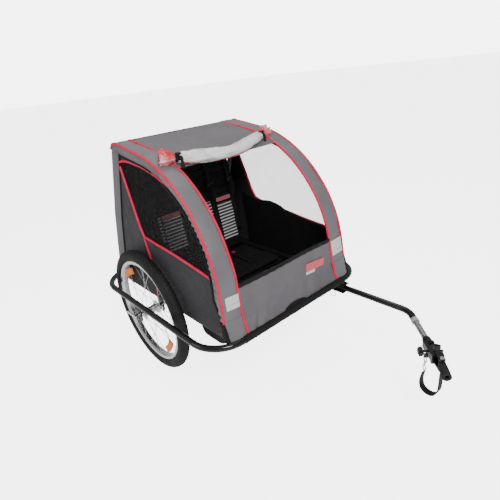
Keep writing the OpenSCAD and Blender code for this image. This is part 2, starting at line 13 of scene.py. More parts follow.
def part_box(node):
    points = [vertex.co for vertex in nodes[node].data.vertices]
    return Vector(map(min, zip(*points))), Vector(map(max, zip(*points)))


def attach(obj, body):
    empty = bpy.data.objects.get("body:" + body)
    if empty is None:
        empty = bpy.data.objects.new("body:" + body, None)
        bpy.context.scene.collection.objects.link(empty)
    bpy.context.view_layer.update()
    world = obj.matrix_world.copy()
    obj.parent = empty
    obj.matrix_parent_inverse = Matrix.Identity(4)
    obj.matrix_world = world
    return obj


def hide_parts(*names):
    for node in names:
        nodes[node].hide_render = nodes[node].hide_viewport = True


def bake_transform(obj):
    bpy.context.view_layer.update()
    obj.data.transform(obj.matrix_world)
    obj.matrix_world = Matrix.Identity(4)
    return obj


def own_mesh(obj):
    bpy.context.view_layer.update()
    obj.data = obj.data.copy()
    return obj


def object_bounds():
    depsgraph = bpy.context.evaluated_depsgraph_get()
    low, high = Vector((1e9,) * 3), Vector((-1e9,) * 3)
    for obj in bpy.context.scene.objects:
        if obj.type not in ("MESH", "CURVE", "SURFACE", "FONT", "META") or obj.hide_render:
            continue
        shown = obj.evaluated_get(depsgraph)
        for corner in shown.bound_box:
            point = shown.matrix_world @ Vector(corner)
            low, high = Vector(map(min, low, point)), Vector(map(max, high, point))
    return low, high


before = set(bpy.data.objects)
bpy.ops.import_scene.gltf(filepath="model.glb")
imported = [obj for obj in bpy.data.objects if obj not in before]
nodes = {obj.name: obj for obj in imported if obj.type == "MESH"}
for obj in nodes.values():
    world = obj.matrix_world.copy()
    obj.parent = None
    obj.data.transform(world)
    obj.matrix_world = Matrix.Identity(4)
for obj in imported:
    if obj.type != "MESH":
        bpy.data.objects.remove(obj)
cad_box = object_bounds()
scene = bpy.context.scene

# ---------------------------------------------------------------- driving dimensions
MM = 0.001


def middle(node):
    low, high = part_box(node)
    return (low + high) / 2


AXLE_X = middle("tyre_left").x
AXLE_Z = middle("tyre_left").z
WHEEL_Y = middle("tyre_left").y
BASE_Z = middle("base_loop").z
BAR_Z = middle("tow_extension").z
TUBE_R = 11
BASE_H = BASE_Z / MM
FRONT_FOOT = (469, BASE_H + 14)
BROW = (421, 797)
REAR_TOP = (-108, 886)
REAR_MID = (-205, 600)
REAR_FOOT = (-272, BASE_H + 14)
HINGE = (445, 331)
PANEL_TOP = 464
SEAT_FOOT, SEAT_LEAN, SEAT_LEN = (-35, 345), math.radians(8.5), 450
CLOTH = 1.1
PIPING = 4.5


def at(x, y, z):
    """A point in the frame, in metres, from millimetres measured from the axle."""
    return Vector((AXLE_X + x * MM, y * MM, z * MM))


def half_w(z):
    return 303 - 0.0445 * (z - BASE_H)


def open_w(z):
    return 229 - 0.024 * (z - BASE_H)


def side_y(z):
    return half_w(z) - 10


# ---------------------------------------------------------------- outlines
def fillet(a, b, c, radius, n=24):
    a, b, c = (np.array(p, float) for p in (a, b, c))
    u, v = (a - b) / np.linalg.norm(a - b), (c - b) / np.linalg.norm(c - b)
    half = math.acos(float(u @ v)) / 2
    centre = b + (u + v) / np.linalg.norm(u + v) * radius / math.sin(half)
    start = b + u * radius / math.tan(half)
    e = (start - centre) / np.linalg.norm(start - centre)
    turn = math.pi - 2 * half
    return [centre + radius * (math.cos(turn * i / n) * e - math.sin(turn * i / n) * u)
            for i in range(n + 1)]


def rounded(points, radii, n=24):
    out = [np.array(points[0], float)]
    for i, radius in enumerate(radii):
        out += fillet(points[i], points[i + 1], points[i + 2], radius, n)
    return out + [np.array(points[-1], float)]


class Path:
    """A line in two or three dimensions, read by the distance along it."""

    def __init__(self, points):
        self.p = np.array(points, float)
        steps = np.linalg.norm(np.diff(self.p, axis=0), axis=1)
        self.s = np.concatenate([[0], np.cumsum(steps)])
        self.length = float(self.s[-1])

    def __call__(self, s):
        return np.array([np.interp(s, self.s, self.p[:, k]) for k in range(self.p.shape[1])])

    def inset(self, s, d):
        ahead = self(min(s + 6, self.length)) - self(max(s - 6, 0))
        ahead /= np.linalg.norm(ahead)
        return self(s) + d * np.array([-ahead[1], ahead[0]])

    def share(self, n):
        """n points spread evenly along the line."""
        return [self(self.length * i / (n - 1)) for i in range(n)]

    def where(self, test):
        """Distance along the line of the first point that passes the test."""
        return next(float(s) for s in np.linspace(0, self.length, 2000) if test(self(s)))


OUTLINE = Path(rounded([FRONT_FOOT, BROW, REAR_TOP, REAR_MID, REAR_FOOT], [457, 36, 500]))
S_ROOF = OUTLINE.where(lambda p: p[0] < 216)
S_BACK = OUTLINE.where(lambda p: p[0] < -95)
S_CORNER = OUTLINE.where(lambda p: p[0] < -118)
S_END = OUTLINE.length
# How far in from the outline the dark side panel's binding runs, from front foot to rear foot
BAND_AT = [0, 46, 84, 125, 170, 270, 420, S_ROOF, S_BACK, S_CORNER + 30, S_END]
BAND_IS = [9, 9, 34, 48, 43, 34, 35, 41, 43, 43, 46]


def binding(s, extra=0.0):
    return OUTLINE.inset(s, float(np.interp(s, BAND_AT, BAND_IS)) + extra)


# ---------------------------------------------------------------- mesh helpers
def new_object(name, verts, faces, mat, smooth=True, uvs=None):
    mesh = bpy.data.meshes.new(name)
    mesh.from_pydata([tuple(v) for v in verts], [], [tuple(f) for f in faces])
    mesh.update()
    if uvs is not None:
        layer = mesh.uv_layers.new(name="UVMap")
        for loop in mesh.loops:
            layer.data[loop.index].uv = uvs[loop.vertex_index]
    for poly in mesh.polygons:
        poly.use_smooth = smooth
    obj = bpy.data.objects.new(name, mesh)
    scene.collection.objects.link(obj)
    mesh.materials.append(mat)
    return obj


def wave(p, amp, size, seed=0.0):
    """Smooth noise in metres at a point in metres: amp and size in millimetres."""
    q = Vector((p[0], p[1], p[2])) / (size * MM) + Vector((seed, seed * 1.7, -seed))
    return noise.noise(q) * amp * MM


def grid_normals(g):
    du = np.gradient(g, axis=0)
    dv = np.gradient(g, axis=1)
    n = np.cross(du, dv)
    return n / np.maximum(np.linalg.norm(n, axis=2, keepdims=True), 1e-12)


def shell(name, grid, mat, thick=CLOTH, ripple=None, outward=None):
    """A sheet of cloth as a closed mesh. grid is rows of points, ripple(i, j, p) moves a point
    along the normal, and outward is a direction that the outer face looks in."""
    g = np.array([[tuple(p) for p in row] for row in grid], float)
    normal = grid_normals(g)
    if outward is not None and (normal * np.array(tuple(outward))).sum() < 0:
        normal = -normal
        flip = True
    else:
        flip = False
    rows, cols = g.shape[:2]
    if ripple is not None:
        lift = np.array([[ripple(i / (rows - 1), j / (cols - 1), g[i, j]) for j in range(cols)]
                         for i in range(rows)])
        g = g + normal * lift[:, :, None]
    u = np.concatenate([[0], np.cumsum(np.linalg.norm(np.diff(g.mean(1), axis=0), axis=1))])
    v = np.concatenate([[0], np.cumsum(np.linalg.norm(np.diff(g.mean(0), axis=0), axis=1))])
    inner = g - normal * thick * MM
    count = rows * cols
    verts = np.concatenate([g.reshape(-1, 3), inner.reshape(-1, 3)])
    uvs = [(v[j], u[i]) for i in range(rows) for j in range(cols)] * 2

    def at_(i, j):
        return i * cols + j

    faces = []
    for i in range(rows - 1):
        for j in range(cols - 1):
            quad = (at_(i, j), at_(i + 1, j), at_(i + 1, j + 1), at_(i, j + 1))
            faces += [quad, tuple(count + k for k in reversed(quad))]
    rim = ([at_(i, 0) for i in range(rows)] + [at_(rows - 1, j) for j in range(1, cols)]
           + [at_(i, cols - 1) for i in range(rows - 2, -1, -1)]
           + [at_(0, j) for j in range(cols - 2, 0, -1)])
    for a, b in zip(rim, rim[1:] + rim[:1]):
        faces.append((b, a, count + a, count + b))
    if flip:
        faces = [tuple(reversed(f)) for f in faces]
    return new_object(name, verts, faces, mat, uvs=uvs)


def smooth_line(points, n):
    """n points along a Catmull-Rom curve through the points."""
    p = [Vector(q) for q in points]
    p = [p[0] * 2 - p[1]] + p + [p[-1] * 2 - p[-2]]
    fine = []
    for i in range(1, len(p) - 2):
        for k in range(16):
            t = k / 16
            fine.append(0.5 * (2 * p[i] + (p[i + 1] - p[i - 1]) * t
                               + (2 * p[i - 1] - 5 * p[i] + 4 * p[i + 1] - p[i + 2]) * t * t
                               + (3 * p[i] - p[i - 1] - 3 * p[i + 1] + p[i + 2]) * t ** 3))
    fine.append(p[-2])
    return [Vector(q) for q in Path(fine).share(n)]


def frames(points, up=Vector((0, 0, 1))):
    """Heading, side and normal at each point, turning as little as possible."""
    out = []
    side = None
    for i in range(len(points)):
        h = (points[min(i + 1, len(points) - 1)] - points[max(i - 1, 0)]).normalized()
        if side is None:
            side = h.cross(up if abs(h.dot(up)) < 0.95 else Vector((1, 0, 0))).normalized()
        side = (side - h * side.dot(h)).normalized()
        out.append((h, side, h.cross(side)))
    return out


def tube(name, points, radius, mat, sides=10, closed=False):
    """A round tube, in metres. radius is in millimetres, or a function of the share along it."""
    points = [Vector(p) for p in points]
    n = len(points)
    verts, faces, uvs = [], [], []
    length = Path(points).s
    for i, (_, side, nor) in enumerate(frames(points)):
        r = (radius(i / (n - 1)) if callable(radius) else radius) * MM
        for k in range(sides):
            a = 2 * math.pi * k / sides
            verts.append(points[i] + (side * math.cos(a) + nor * math.sin(a)) * r)
            uvs.append((k / sides * 2 * math.pi * r, length[i]))
    last = n if closed else n - 1
    for i in range(last):
        for k in range(sides):
            a, b = i * sides + k, i * sides + (k + 1) % sides
            c, d = ((i + 1) % n) * sides + (k + 1) % sides, ((i + 1) % n) * sides + k
            faces.append((a, b, c, d))
    if not closed:
        faces.append(tuple(reversed(range(sides))))
        faces.append(tuple((n - 1) * sides + k for k in range(sides)))
    return new_object(name, verts, faces, mat, uvs=uvs)


def ribbon(name, points, across, width, thick, mat, bow=0.0):
    """A flat strap through points in metres. across is its width's direction, or one for each
    point; width and thick are millimetres."""
    points = [Vector(p) for p in points]
    ways = across if isinstance(across, list) else [Vector(across)] * len(points)
    cols = 4
    grid = []
    for i, p in enumerate(points):
        h = (points[min(i + 1, len(points) - 1)] - points[max(i - 1, 0)]).normalized()
        w = (ways[i] - h * ways[i].dot(h)).normalized()
        nor = h.cross(w)
        row = []
        for j in range(cols + 1):
            t = j / cols - 0.5
            row.append(p + w * t * width * MM + nor * (thick / 2 + bow * (0.25 - t * t)) * MM)
        grid.append(row)
    return shell(name, grid, mat, thick=thick)


def lathe(name, profile, centre, axis, mat, steps=64, cap=True):
    """A turned piece: profile is (radius, along) in millimetres, axis a unit vector."""
    axis = Vector(axis).normalized()
    side = axis.orthogonal().normalized()
    other = axis.cross(side)
    verts, faces, uvs = [], [], []
    n = len(profile)
    for k in range(steps):
        a = 2 * math.pi * k / steps
        out = side * math.cos(a) + other * math.sin(a)
        for i, (r, z) in enumerate(profile):
            verts.append(Vector(centre) + out * r * MM + axis * z * MM)
            uvs.append((a * r * MM, i * MM))
    for k in range(steps):
        for i in range(n - 1 if cap else n):
            a, b = k * n + i, k * n + (i + 1) % n
            c, d = ((k + 1) % steps) * n + (i + 1) % n, ((k + 1) % steps) * n + i
            faces.append((a, d, c, b))
    if cap:
        faces.append(tuple(k * n for k in range(steps)))
        faces.append(tuple(k * n + n - 1 for k in reversed(range(steps))))
    return new_object(name, verts, faces, mat, uvs=uvs)


def block(name, centre, size, mat, turn=Matrix.Identity(3), bevel=1.0, segments=3):
    """A box with rounded edges. size and bevel are millimetres, turn a rotation."""
    bm = bmesh.new()
    bmesh.ops.create_cube(bm, size=1)
    bmesh.ops.scale(bm, vec=Vector(size) * MM, verts=bm.verts)
    bmesh.ops.bevel(bm, geom=bm.edges[:], offset=bevel * MM, segments=segments, affect="EDGES",
                    profile=0.5)
    bmesh.ops.transform(bm, matrix=Matrix.Translation(centre) @ turn.to_4x4(), verts=bm.verts)
    mesh = bpy.data.meshes.new(name)
    bm.to_mesh(mesh)
    bm.free()
    for poly in mesh.polygons:
        poly.use_smooth = True
    obj = bpy.data.objects.new(name, mesh)
    scene.collection.objects.link(obj)
    mesh.materials.append(mat)
    return obj


def joined(name, objects):
    """Several new meshes as one object."""
    bm = bmesh.new()
    mats = []
    for o in objects:
        start = len(bm.faces)
        bm.from_mesh(o.data)
        bm.faces.ensure_lookup_table()
        mat = o.data.materials[0]
        if mat not in mats:
            mats.append(mat)
        for f in bm.faces[start:]:
            f.material_index = mats.index(mat)
    mesh = bpy.data.meshes.new(name)
    bm.to_mesh(mesh)
    bm.free()
    for m in mats:
        mesh.materials.append(m)
    obj = bpy.data.objects.new(name, mesh)
    scene.collection.objects.link(obj)
    for o in objects:
        old = o.data
        bpy.data.objects.remove(o)
        bpy.data.meshes.remove(old)
    return obj


def split(obj, point, normal, names):
    """Cuts a mesh along a plane into two objects, first the side that normal points to."""
    out = []
    for name, keep_front in zip(names, (True, False)):
        bm = bmesh.new()
        bm.from_mesh(obj.data)
        cut = bmesh.ops.bisect_plane(bm, geom=bm.verts[:] + bm.edges[:] + bm.faces[:],
                                     plane_co=point, plane_no=normal,
                                     clear_inner=keep_front, clear_outer=not keep_front)
        edges = [e for e in cut["geom_cut"] if isinstance(e, bmesh.types.BMEdge)]
        bmesh.ops.holes_fill(bm, edges=edges)
        if len(bm.faces) == 0:
            bm.free()
            out.append(None)
            continue
        mesh = bpy.data.meshes.new(name)
        bm.to_mesh(mesh)
        bm.free()
        for m in obj.data.materials:
            mesh.materials.append(m)
        piece = bpy.data.objects.new(name, mesh)
        scene.collection.objects.link(piece)
        out.append(piece)
    old = obj.data
    bpy.data.objects.remove(obj)
    bpy.data.meshes.remove(old)
    return out


# ---------------------------------------------------------------- materials
class Look:
    """A Principled material with a few helpers for its nodes."""

    def __init__(self, name, colour, rough=0.5, metal=0.0, **sockets):
        self.mat = bpy.data.materials.new(name)
        self.mat.use_nodes = True
        self.tree = self.mat.node_tree
        self.bsdf = self.tree.nodes["Principled BSDF"]
        self.set("Base Color", (*colour, 1))
        self.set("Roughness", rough)
        self.set("Metallic", metal)
        for key, value in sockets.items():
            self.set(key.replace("_", " "), value)
        self.colour = colour
        self.rough = rough
        self.height = None

    def set(self, socket, value):
        self.bsdf.inputs[socket].default_value = value

    def node(self, kind, **values):
        n = self.tree.nodes.new(kind)
        for key, value in values.items():
            if key in n.inputs:
                n.inputs[key].default_value = value
            else:
                setattr(n, key, value)
        return n

    def link(self, a, b):
        self.tree.links.new(a, b)

    def coords(self, kind, scale):
        source = self.node("ShaderNodeTexCoord")
        mapping = self.node("ShaderNodeMapping")
        mapping.inputs["Scale"].default_value = scale if hasattr(scale, "__len__") else (scale,) * 3
        self.link(source.outputs[kind], mapping.inputs["Vector"])
        return mapping.outputs["Vector"]

    def noise(self, scale, detail=4.0, kind="Object"):
        n = self.node("ShaderNodeTexNoise", Scale=1.0, Detail=detail)
        self.link(self.coords(kind, scale), n.inputs["Vector"])
        return n.outputs["Fac"]

    def ramp(self, value, low, high, start=0.3, end=0.7):
        r = self.node("ShaderNodeValToRGB")
        r.color_ramp.elements[0].position, r.color_ramp.elements[1].position = start, end
        r.color_ramp.elements[0].color = (*low, 1) if hasattr(low, "__len__") else (low,) * 3 + (1,)
        r.color_ramp.elements[1].color = (*high, 1) if hasattr(high, "__len__") else (high,) * 3 + (1,)
        self.link(value, r.inputs["Fac"])
        return r.outputs["Color"]

    def vary(self, amount, scale, detail=4.0):
        """Lighter and darker patches of the base colour."""
        low = tuple(c * (1 - amount) for c in self.colour)
        high = tuple(min(1, c * (1 + amount)) for c in self.colour)
        self.link(self.ramp(self.noise(scale, detail), low, high), self.bsdf.inputs["Base Color"])
        return self

    def rough_vary(self, spread, scale):
        low, high = max(0, self.rough - spread), min(1, self.rough + spread)
        self.link(self.ramp(self.noise(scale), low, high), self.bsdf.inputs["Roughness"])
        return self

    def bump(self, value, strength, distance):
        b = self.node("ShaderNodeBump", Strength=strength, Distance=distance * MM)
        self.link(value, b.inputs["Height"])
        if self.height is not None:
            self.link(self.height, b.inputs["Normal"])
        self.height = b.outputs["Normal"]
        self.link(self.height, self.bsdf.inputs["Normal"])
        return self

    def weave(self, pitch, strength=0.5, kind="UV"):
        """Over and under threads: pitch is the thread spacing in millimetres."""
        waves = []
        for way in ("X", "Y"):
            w = self.node("ShaderNodeTexWave", Scale=1 / (pitch * MM) / 6.2832 * 3.1416,
                          bands_direction=way, Distortion=0.6, Detail=1.0)
            self.link(self.coords(kind, 1.0), w.inputs["Vector"])
            waves.append(w.outputs["Fac"])
        top = self.node("ShaderNodeMath", operation="MAXIMUM")
        self.link(waves[0], top.inputs[0])
        self.link(waves[1], top.inputs[1])
        return self.bump(top.outputs[0], strength, pitch * 0.25)

    def threads(self, pitch, low, high, kind="UV", way="X", start=0.3, end=0.7, wobble=0.3):
        """Lines of lighter and darker thread in the base colour."""
        w = self.node("ShaderNodeTexWave", Scale=1 / (pitch * MM) / 2, bands_direction=way,
                      Distortion=wobble)
        self.link(self.coords(kind, 1.0), w.inputs["Vector"])
        self.link(self.ramp(w.outputs["Fac"], low, high, start, end), self.bsdf.inputs["Base Color"])
        return self


def polyester(name, colour, sheen=0.25, rough=0.62, crease=0.35):
    look = Look(name, colour, rough, Sheen_Weight=sheen, Sheen_Roughness=0.4,
                Specular_IOR_Level=0.3 if colour[0] < 0.1 else 0.5)
    look.vary(0.10, 9.0, 6.0).rough_vary(0.08, 30.0)
    look.bump(look.noise(22.0, 5.0), crease, 2.0)
    return look.weave(0.9, 0.35).mat


GREY = polyester("grey polyester", (0.135, 0.126, 0.138), sheen=0.12, rough=0.5, crease=0.55)
STRIP_GREY = polyester("grey polyester strip", (0.160, 0.152, 0.164), sheen=0.15, rough=0.42)
# The gathered band is the yoke's grey cloth, painted lighter as a painted highlight on its shiny crinkles
GATHER_PAINTED_HIGHLIGHT = polyester("gathered grey polyester painted lighter", (0.19, 0.182, 0.195), sheen=0.15, rough=0.36, crease=0.8)
CHARCOAL = polyester("charcoal polyester", (0.034, 0.032, 0.037), sheen=0.05)
BLACK_CLOTH = polyester("black polyester", (0.0055, 0.0055, 0.006), sheen=0.02, rough=0.7)


def webbing(name, colour):
    look = Look(name, colour, 0.6, Specular_IOR_Level=0.3)
    low = tuple(c * 0.6 for c in colour)
    look.threads(2.2, low, colour, way="Y")
    return look.weave(1.6, 0.7).mat


WEBBING = webbing("black webbing", (0.010, 0.010, 0.011))
BAND = webbing("black elastic band", (0.006, 0.006, 0.006))


def coral():
    look = Look("coral piping", (0.72, 0.016, 0.070), 0.5, Specular_IOR_Level=0.3)
    look.vary(0.14, 60.0)
    return look.weave(0.8, 0.5, "UV").mat


def coral_film():
    """Clear cover with its coral edge binding seen through the folds."""
    look = Look("gathered coral edge", (0.80, 0.06, 0.10), 0.32, Coat_Weight=0.2)
    look.link(look.ramp(look.noise(28.0, 3.0), (0.72, 0.012, 0.035), (0.90, 0.42, 0.47), 0.42, 0.72),
              look.bsdf.inputs["Base Color"])
    return look.bump(look.noise(70.0, 3.0), 0.5, 2.0).mat


def vinyl():
    look = Look("clear vinyl roll", (0.90, 0.87, 0.89), 0.16, Coat_Weight=0.6, Coat_Roughness=0.08)
    look.link(look.ramp(look.noise(16.0, 4.0), (0.70, 0.66, 0.69), (0.95, 0.94, 0.95), 0.30, 0.55),
              look.bsdf.inputs["Base Color"])
    look.rough_vary(0.06, 20.0)
    return look.bump(look.noise(45.0, 3.0), 0.6, 3.0).mat


def film():
    look = Look("clear window film", (0.80, 0.81, 0.82), 0.22, Alpha=0.38, Coat_Weight=0.3)
    look.vary(0.05, 12.0)
    return look.bump(look.noise(6.0, 2.0), 0.3, 4.0).mat


def mesh_window():
    """Black net: dark threads with fine holes that let the seat show through."""
    look = Look("black window net", (0.012, 0.012, 0.013), 0.6, Specular_IOR_Level=0.15)
    holes = look.node("ShaderNodeTexVoronoi", Scale=1.0, Randomness=0.15)
    look.link(look.coords("UV", 1 / (0.9 * MM)), holes.inputs["Vector"])
    look.link(look.ramp(holes.outputs["Distance"], 0.42, 0.34, 0.2, 0.6), look.bsdf.inputs["Alpha"])
    look.vary(0.2, 20.0)
    return look.mat


def black_paint():
    look = Look("black powder coat", (0.004, 0.004, 0.0045), 0.22, Coat_Weight=0.15, Coat_Roughness=0.08,
                Specular_IOR_Level=0.4)
    look.rough_vary(0.05, 25.0)
    return look.bump(look.noise(260.0, 2.0), 0.12, 0.4).mat


def black_plastic():
    look = Look("black moulded plastic", (0.007, 0.007, 0.0075), 0.4, Specular_IOR_Level=0.4)
    look.vary(0.25, 40.0)
    return look.bump(look.noise(700.0, 2.0), 0.25, 0.3).mat


def bright_steel():
    look = Look("bright zinc plated steel", (0.72, 0.73, 0.75), 0.22, 1.0)
    look.vary(0.10, 60.0).rough_vary(0.08, 90.0)
    return look.bump(look.noise(300.0, 3.0), 0.15, 0.3).mat


def mottled_steel():
    """The hitch tube: galvanised, with a spangle of lighter and darker grains."""
    look = Look("galvanised steel", (0.62, 0.63, 0.65), 0.3, 1.0)
    cells = look.node("ShaderNodeTexVoronoi", Scale=1.0)
    look.link(look.coords("Object", 170.0), cells.inputs["Vector"])
    look.link(look.ramp(cells.outputs["Color"], (0.30, 0.31, 0.32), (0.80, 0.81, 0.83), 0.2, 0.8),
              look.bsdf.inputs["Base Color"])
    return look.bump(look.noise(220.0, 3.0), 0.2, 0.3).mat


def alloy():
    look = Look("brushed alloy", (0.80, 0.81, 0.83), 0.26, 1.0, Anisotropic=0.5)
    look.rough_vary(0.08, 120.0)
    return look.vary(0.06, 50.0).mat


def rubber(name="tyre rubber", colour=(0.010, 0.010, 0.0105)):
    look = Look(name, colour, 0.66, Specular_IOR_Level=0.3)
    look.vary(0.35, 30.0).rough_vary(0.1, 60.0)
    return look.bump(look.noise(500.0, 3.0), 0.3, 0.4).mat


def reflector():
    look = Look("orange reflector", (0.9, 0.14, 0.0), 0.35, Specular_IOR_Level=0.3)
    cells = look.node("ShaderNodeTexVoronoi", Scale=1.0)
    look.link(look.coords("Object", 420.0), cells.inputs["Vector"])
    look.link(look.ramp(cells.outputs["Distance"], (0.86, 0.085, 0.0), (0.98, 0.22, 0.0), 0.0, 0.5),
              look.bsdf.inputs["Base Color"])
    return look.bump(cells.outputs["Distance"], 0.5, 0.6).mat


def reflective_tape():
    look = Look("reflective tape", (0.74, 0.75, 0.77), 0.3, 0.15, Coat_Weight=0.3)
    cells = look.node("ShaderNodeTexVoronoi", Scale=1.0, feature="DISTANCE_TO_EDGE")
    look.link(look.coords("UV", 260.0), cells.inputs["Vector"])
    look.link(look.ramp(cells.outputs["Distance"], (0.42, 0.43, 0.45), (0.86, 0.87, 0.88), 0.0, 0.12),
              look.bsdf.inputs["Base Color"])
    return look.bump(cells.outputs["Distance"], 0.4, 0.3).mat


def label(name, colour, stripe, pitch):
    """A plain woven patch: even ribs and no writing."""
    look = Look(name, colour, 0.6, Sheen_Weight=0.1)
    look.threads(pitch, colour, stripe, way="Y", start=0.5, end=0.62, wobble=0.0)
    return look.mat


CORAL = coral()
CORAL_FILM = coral_film()
VINYL = vinyl()
FILM = film()
NET = mesh_window()
PAINT = black_paint()
PLASTIC = black_plastic()
STEEL = bright_steel()
GALVANISED = mottled_steel()
ALLOY = alloy()
RUBBER = rubber()
GRIP = rubber("soft black rubber", (0.014, 0.014, 0.014))
REFLECTOR = reflector()
TAPE = reflective_tape()
PATCH = label("woven patch", (0.012, 0.012, 0.013), (0.60, 0.60, 0.61), 22.0)
PATCH_HEAD = label("woven patch header", (0.66, 0.05, 0.08), (0.78, 0.30, 0.33), 3.0)
BADGE = label("plain badge", (0.66, 0.03, 0.06), (0.76, 0.22, 0.26), 6.0)

CAD_LOOKS = {
    PAINT: ["base_loop", "inner_tube_left", "inner_tube_right", "seat_cross_tube", "dropouts_left",
            "dropouts_right", "hoop_left", "hoop_right", "brow_bar", "rear_top_bar", "back_frame",
            "tow_bar", "tow_bracket", "hoop_bracket_left", "hoop_bracket_right", "back_brackets",
            "hitch_yoke"],
    STEEL: ["frame_bolts", "tow_pivot_bolt", "tow_lock_pin", "hitch_rings", "axle_left",
            "axle_right", "skewer_left", "skewer_right", "spokes_left", "spokes_right"],
    ALLOY: ["rim_left", "rim_right", "hub_left", "hub_right", "qr_lever_left", "qr_lever_right"],
    GALVANISED: ["tow_extension"],
    PLASTIC: ["clamp_jaw", "star_knob"],
    GRIP: ["coupler"],
}
for look, names in CAD_LOOKS.items():
    for n in names:
        nodes[n].data.materials.clear()
        nodes[n].data.materials.append(look)


# ---------------------------------------------------------------- placing pieces
def put(obj, body, slot_name, *replaced):
    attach(obj, body)
    if replaced:
        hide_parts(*replaced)
    return obj


def bend_front(obj, slot_name, *replaced):
    """Cloth held by the base loop at its foot and by the canopy above: its transform is baked into its mesh
    and the parts it replaces are hidden, but it is tied to neither.
    """
    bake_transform(obj)
    if replaced:
        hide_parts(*replaced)
    return obj


def bend_back(obj, slot_name, *replaced):
    """Cloth on the rear face, held by the rear tube below and by the canopy above: its transform is baked
    into its mesh and the parts it replaces are hidden, but it is tied to neither.
    """
    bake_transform(obj)
    if replaced:
        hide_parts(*replaced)
    return obj


CHORD = Vector((REAR_TOP[0] - HINGE[0], 0, REAR_TOP[1] - HINGE[1])).normalized()
CHORD_NORMAL = Vector((-CHORD.z, 0, CHORD.x)) * -1
FOLD_AT = at(HINGE[0], 0, HINGE[1])


def cut_size(rows, above=None):
    """Width, length and area of the flat cloth that rows of points draw, before any folds. With
    above, only what lies above (True) or below (False) the line where a side folds, measured
    over its outline in the side's plane."""
    g = np.array([[tuple(p) for p in row] for row in rows])
    quads = (g[:-1, :-1], g[1:, :-1], g[1:, 1:], g[:-1, 1:])
    area = np.linalg.norm(np.cross(quads[2] - quads[0], quads[3] - quads[1]), axis=2) / 2
    kept = np.ones(area.shape, bool)
    if above is not None:
        middle = sum(quads) / 4
        kept = ((middle - np.array(tuple(FOLD_AT))) @ np.array(tuple(CHORD_NORMAL)) > 0) == above
    if above is None:
        width = (np.linalg.norm(np.diff(g, axis=1), axis=2)[:-1] * kept).sum(1).max()
        length = (np.linalg.norm(np.diff(g, axis=0), axis=2)[:, :-1] * kept).sum(0).max()
    else:
        width, _, length = np.ptp(np.concatenate([q[kept] for q in quads]), axis=0)
    return (float(width), float(length)), float(min((area * kept).sum(), width * length))


def fold_side(obj, name, slot_name, upper=(), lower=(), rows=None):
    """Parts a side piece along the line from the hinge to the rear top. Both parts ride
    the canopy, and the lower part gets a mesh of its own. rows are a cloth's
    points before its folds."""
    top, low = split(obj, FOLD_AT, CHORD_NORMAL, (name + "_upper", name + "_lower"))
    if top is not None:
        put(top, "canopy", slot_name, *upper)
    if low is not None:
        put(low, "canopy", slot_name, *lower)
        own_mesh(low)
    for part in (top, low):
        if part is not None and rows is not None:
            middle = sum((v.co for v in part.data.vertices), Vector()) / len(part.data.vertices)
            above = (part.matrix_world @ middle - Vector(FOLD_AT)).dot(Vector(CHORD_NORMAL)) > 0
            flat, area = cut_size(rows, above)
    return top, low


# ---------------------------------------------------------------- camera, light and floor
CAM_AIM = at(200, 0, 400)
CAM_AZIMUTH, CAM_ELEVATION, CAM_ROLL = (math.radians(a) for a in (-38.3, 24.8, -6.7))
CAM_DISTANCE = 1.569


def make_camera():
    away = Vector((math.cos(CAM_ELEVATION) * math.cos(CAM_AZIMUTH),
                   math.cos(CAM_ELEVATION) * math.sin(CAM_AZIMUTH), math.sin(CAM_ELEVATION)))
    right = (-away).cross(Vector((0, 0, 1))).normalized()
    up = right.cross(-away)
    side = right * math.cos(CAM_ROLL) + up * math.sin(CAM_ROLL)
    top = up * math.cos(CAM_ROLL) - right * math.sin(CAM_ROLL)
    data = bpy.data.cameras.new("camera")
    data.lens = 28.96
    data.sensor_width = 36
    data.shift_x, data.shift_y = 0.019, 0.0196
    data.clip_start = 0.02
    cam = bpy.data.objects.new("camera", data)
    scene.collection.objects.link(cam)
    turn = Matrix((side, top, away)).transposed()
    cam.matrix_world = Matrix.Translation(CAM_AIM + away * CAM_DISTANCE) @ turn.to_4x4()
    scene.camera = cam


def area_light(name, place, aim, size, watts):
    data = bpy.data.lights.new(name, "AREA")
    data.shape = "DISK"
    data.size, data.energy = size, watts
    obj = bpy.data.objects.new(name, data)
    scene.collection.objects.link(obj)
    obj.location = place
    obj.rotation_mode = "QUATERNION"
    obj.rotation_quaternion = (Vector(aim) - Vector(place)).to_track_quat("-Z", "Y")


def seen(tree, straight, bounced):
    """A strength for what is seen straight on, and another for the light it throws."""
    rays = tree.nodes.new("ShaderNodeLightPath")
    mix = tree.nodes.new("ShaderNodeMapRange")
    mix.inputs["To Min"].default_value = bounced
    mix.inputs["To Max"].default_value = straight
    tree.links.new(rays.outputs["Is Camera Ray"], mix.inputs["Value"])
    return mix.outputs["Result"]


def make_stage():
    paper = Look("pale floor", (0.90, 0.90, 0.90), 0.9, Emission_Color=(1, 1, 1, 1))
    paper.vary(0.01, 0.4)
    paper.link(seen(paper.tree, 4.2, 0.25), paper.bsdf.inputs["Emission Strength"])
    low = min(v[2] for v in cad_box)
    verts = [(x, y, low - 0.0005) for x, y in ((-60, -60), (60, -60), (60, 60), (-60, 60))]
    floor = new_object("floor", verts, [(0, 1, 2, 3)], paper.mat, smooth=False)
    world = bpy.data.worlds.new("studio")
    scene.world = world
    world.use_nodes = True
    shade = world.node_tree.nodes["Background"]
    shade.inputs["Color"].default_value = (1, 1, 1, 1)
    world.node_tree.links.new(seen(world.node_tree, 6.0, 0.42), shade.inputs["Strength"])
    area_light("key", (1.9, -0.9, 2.4), (0.1, 0, 0.4), 1.0, 60)
    area_light("fill", (-1.2, -2.4, 1.5), (0, 0, 0.4), 1.6, 14)
    area_light("top", (-0.6, 0.5, 2.8), (0, 0, 0.4), 1.4, 16)


make_camera()
make_stage()

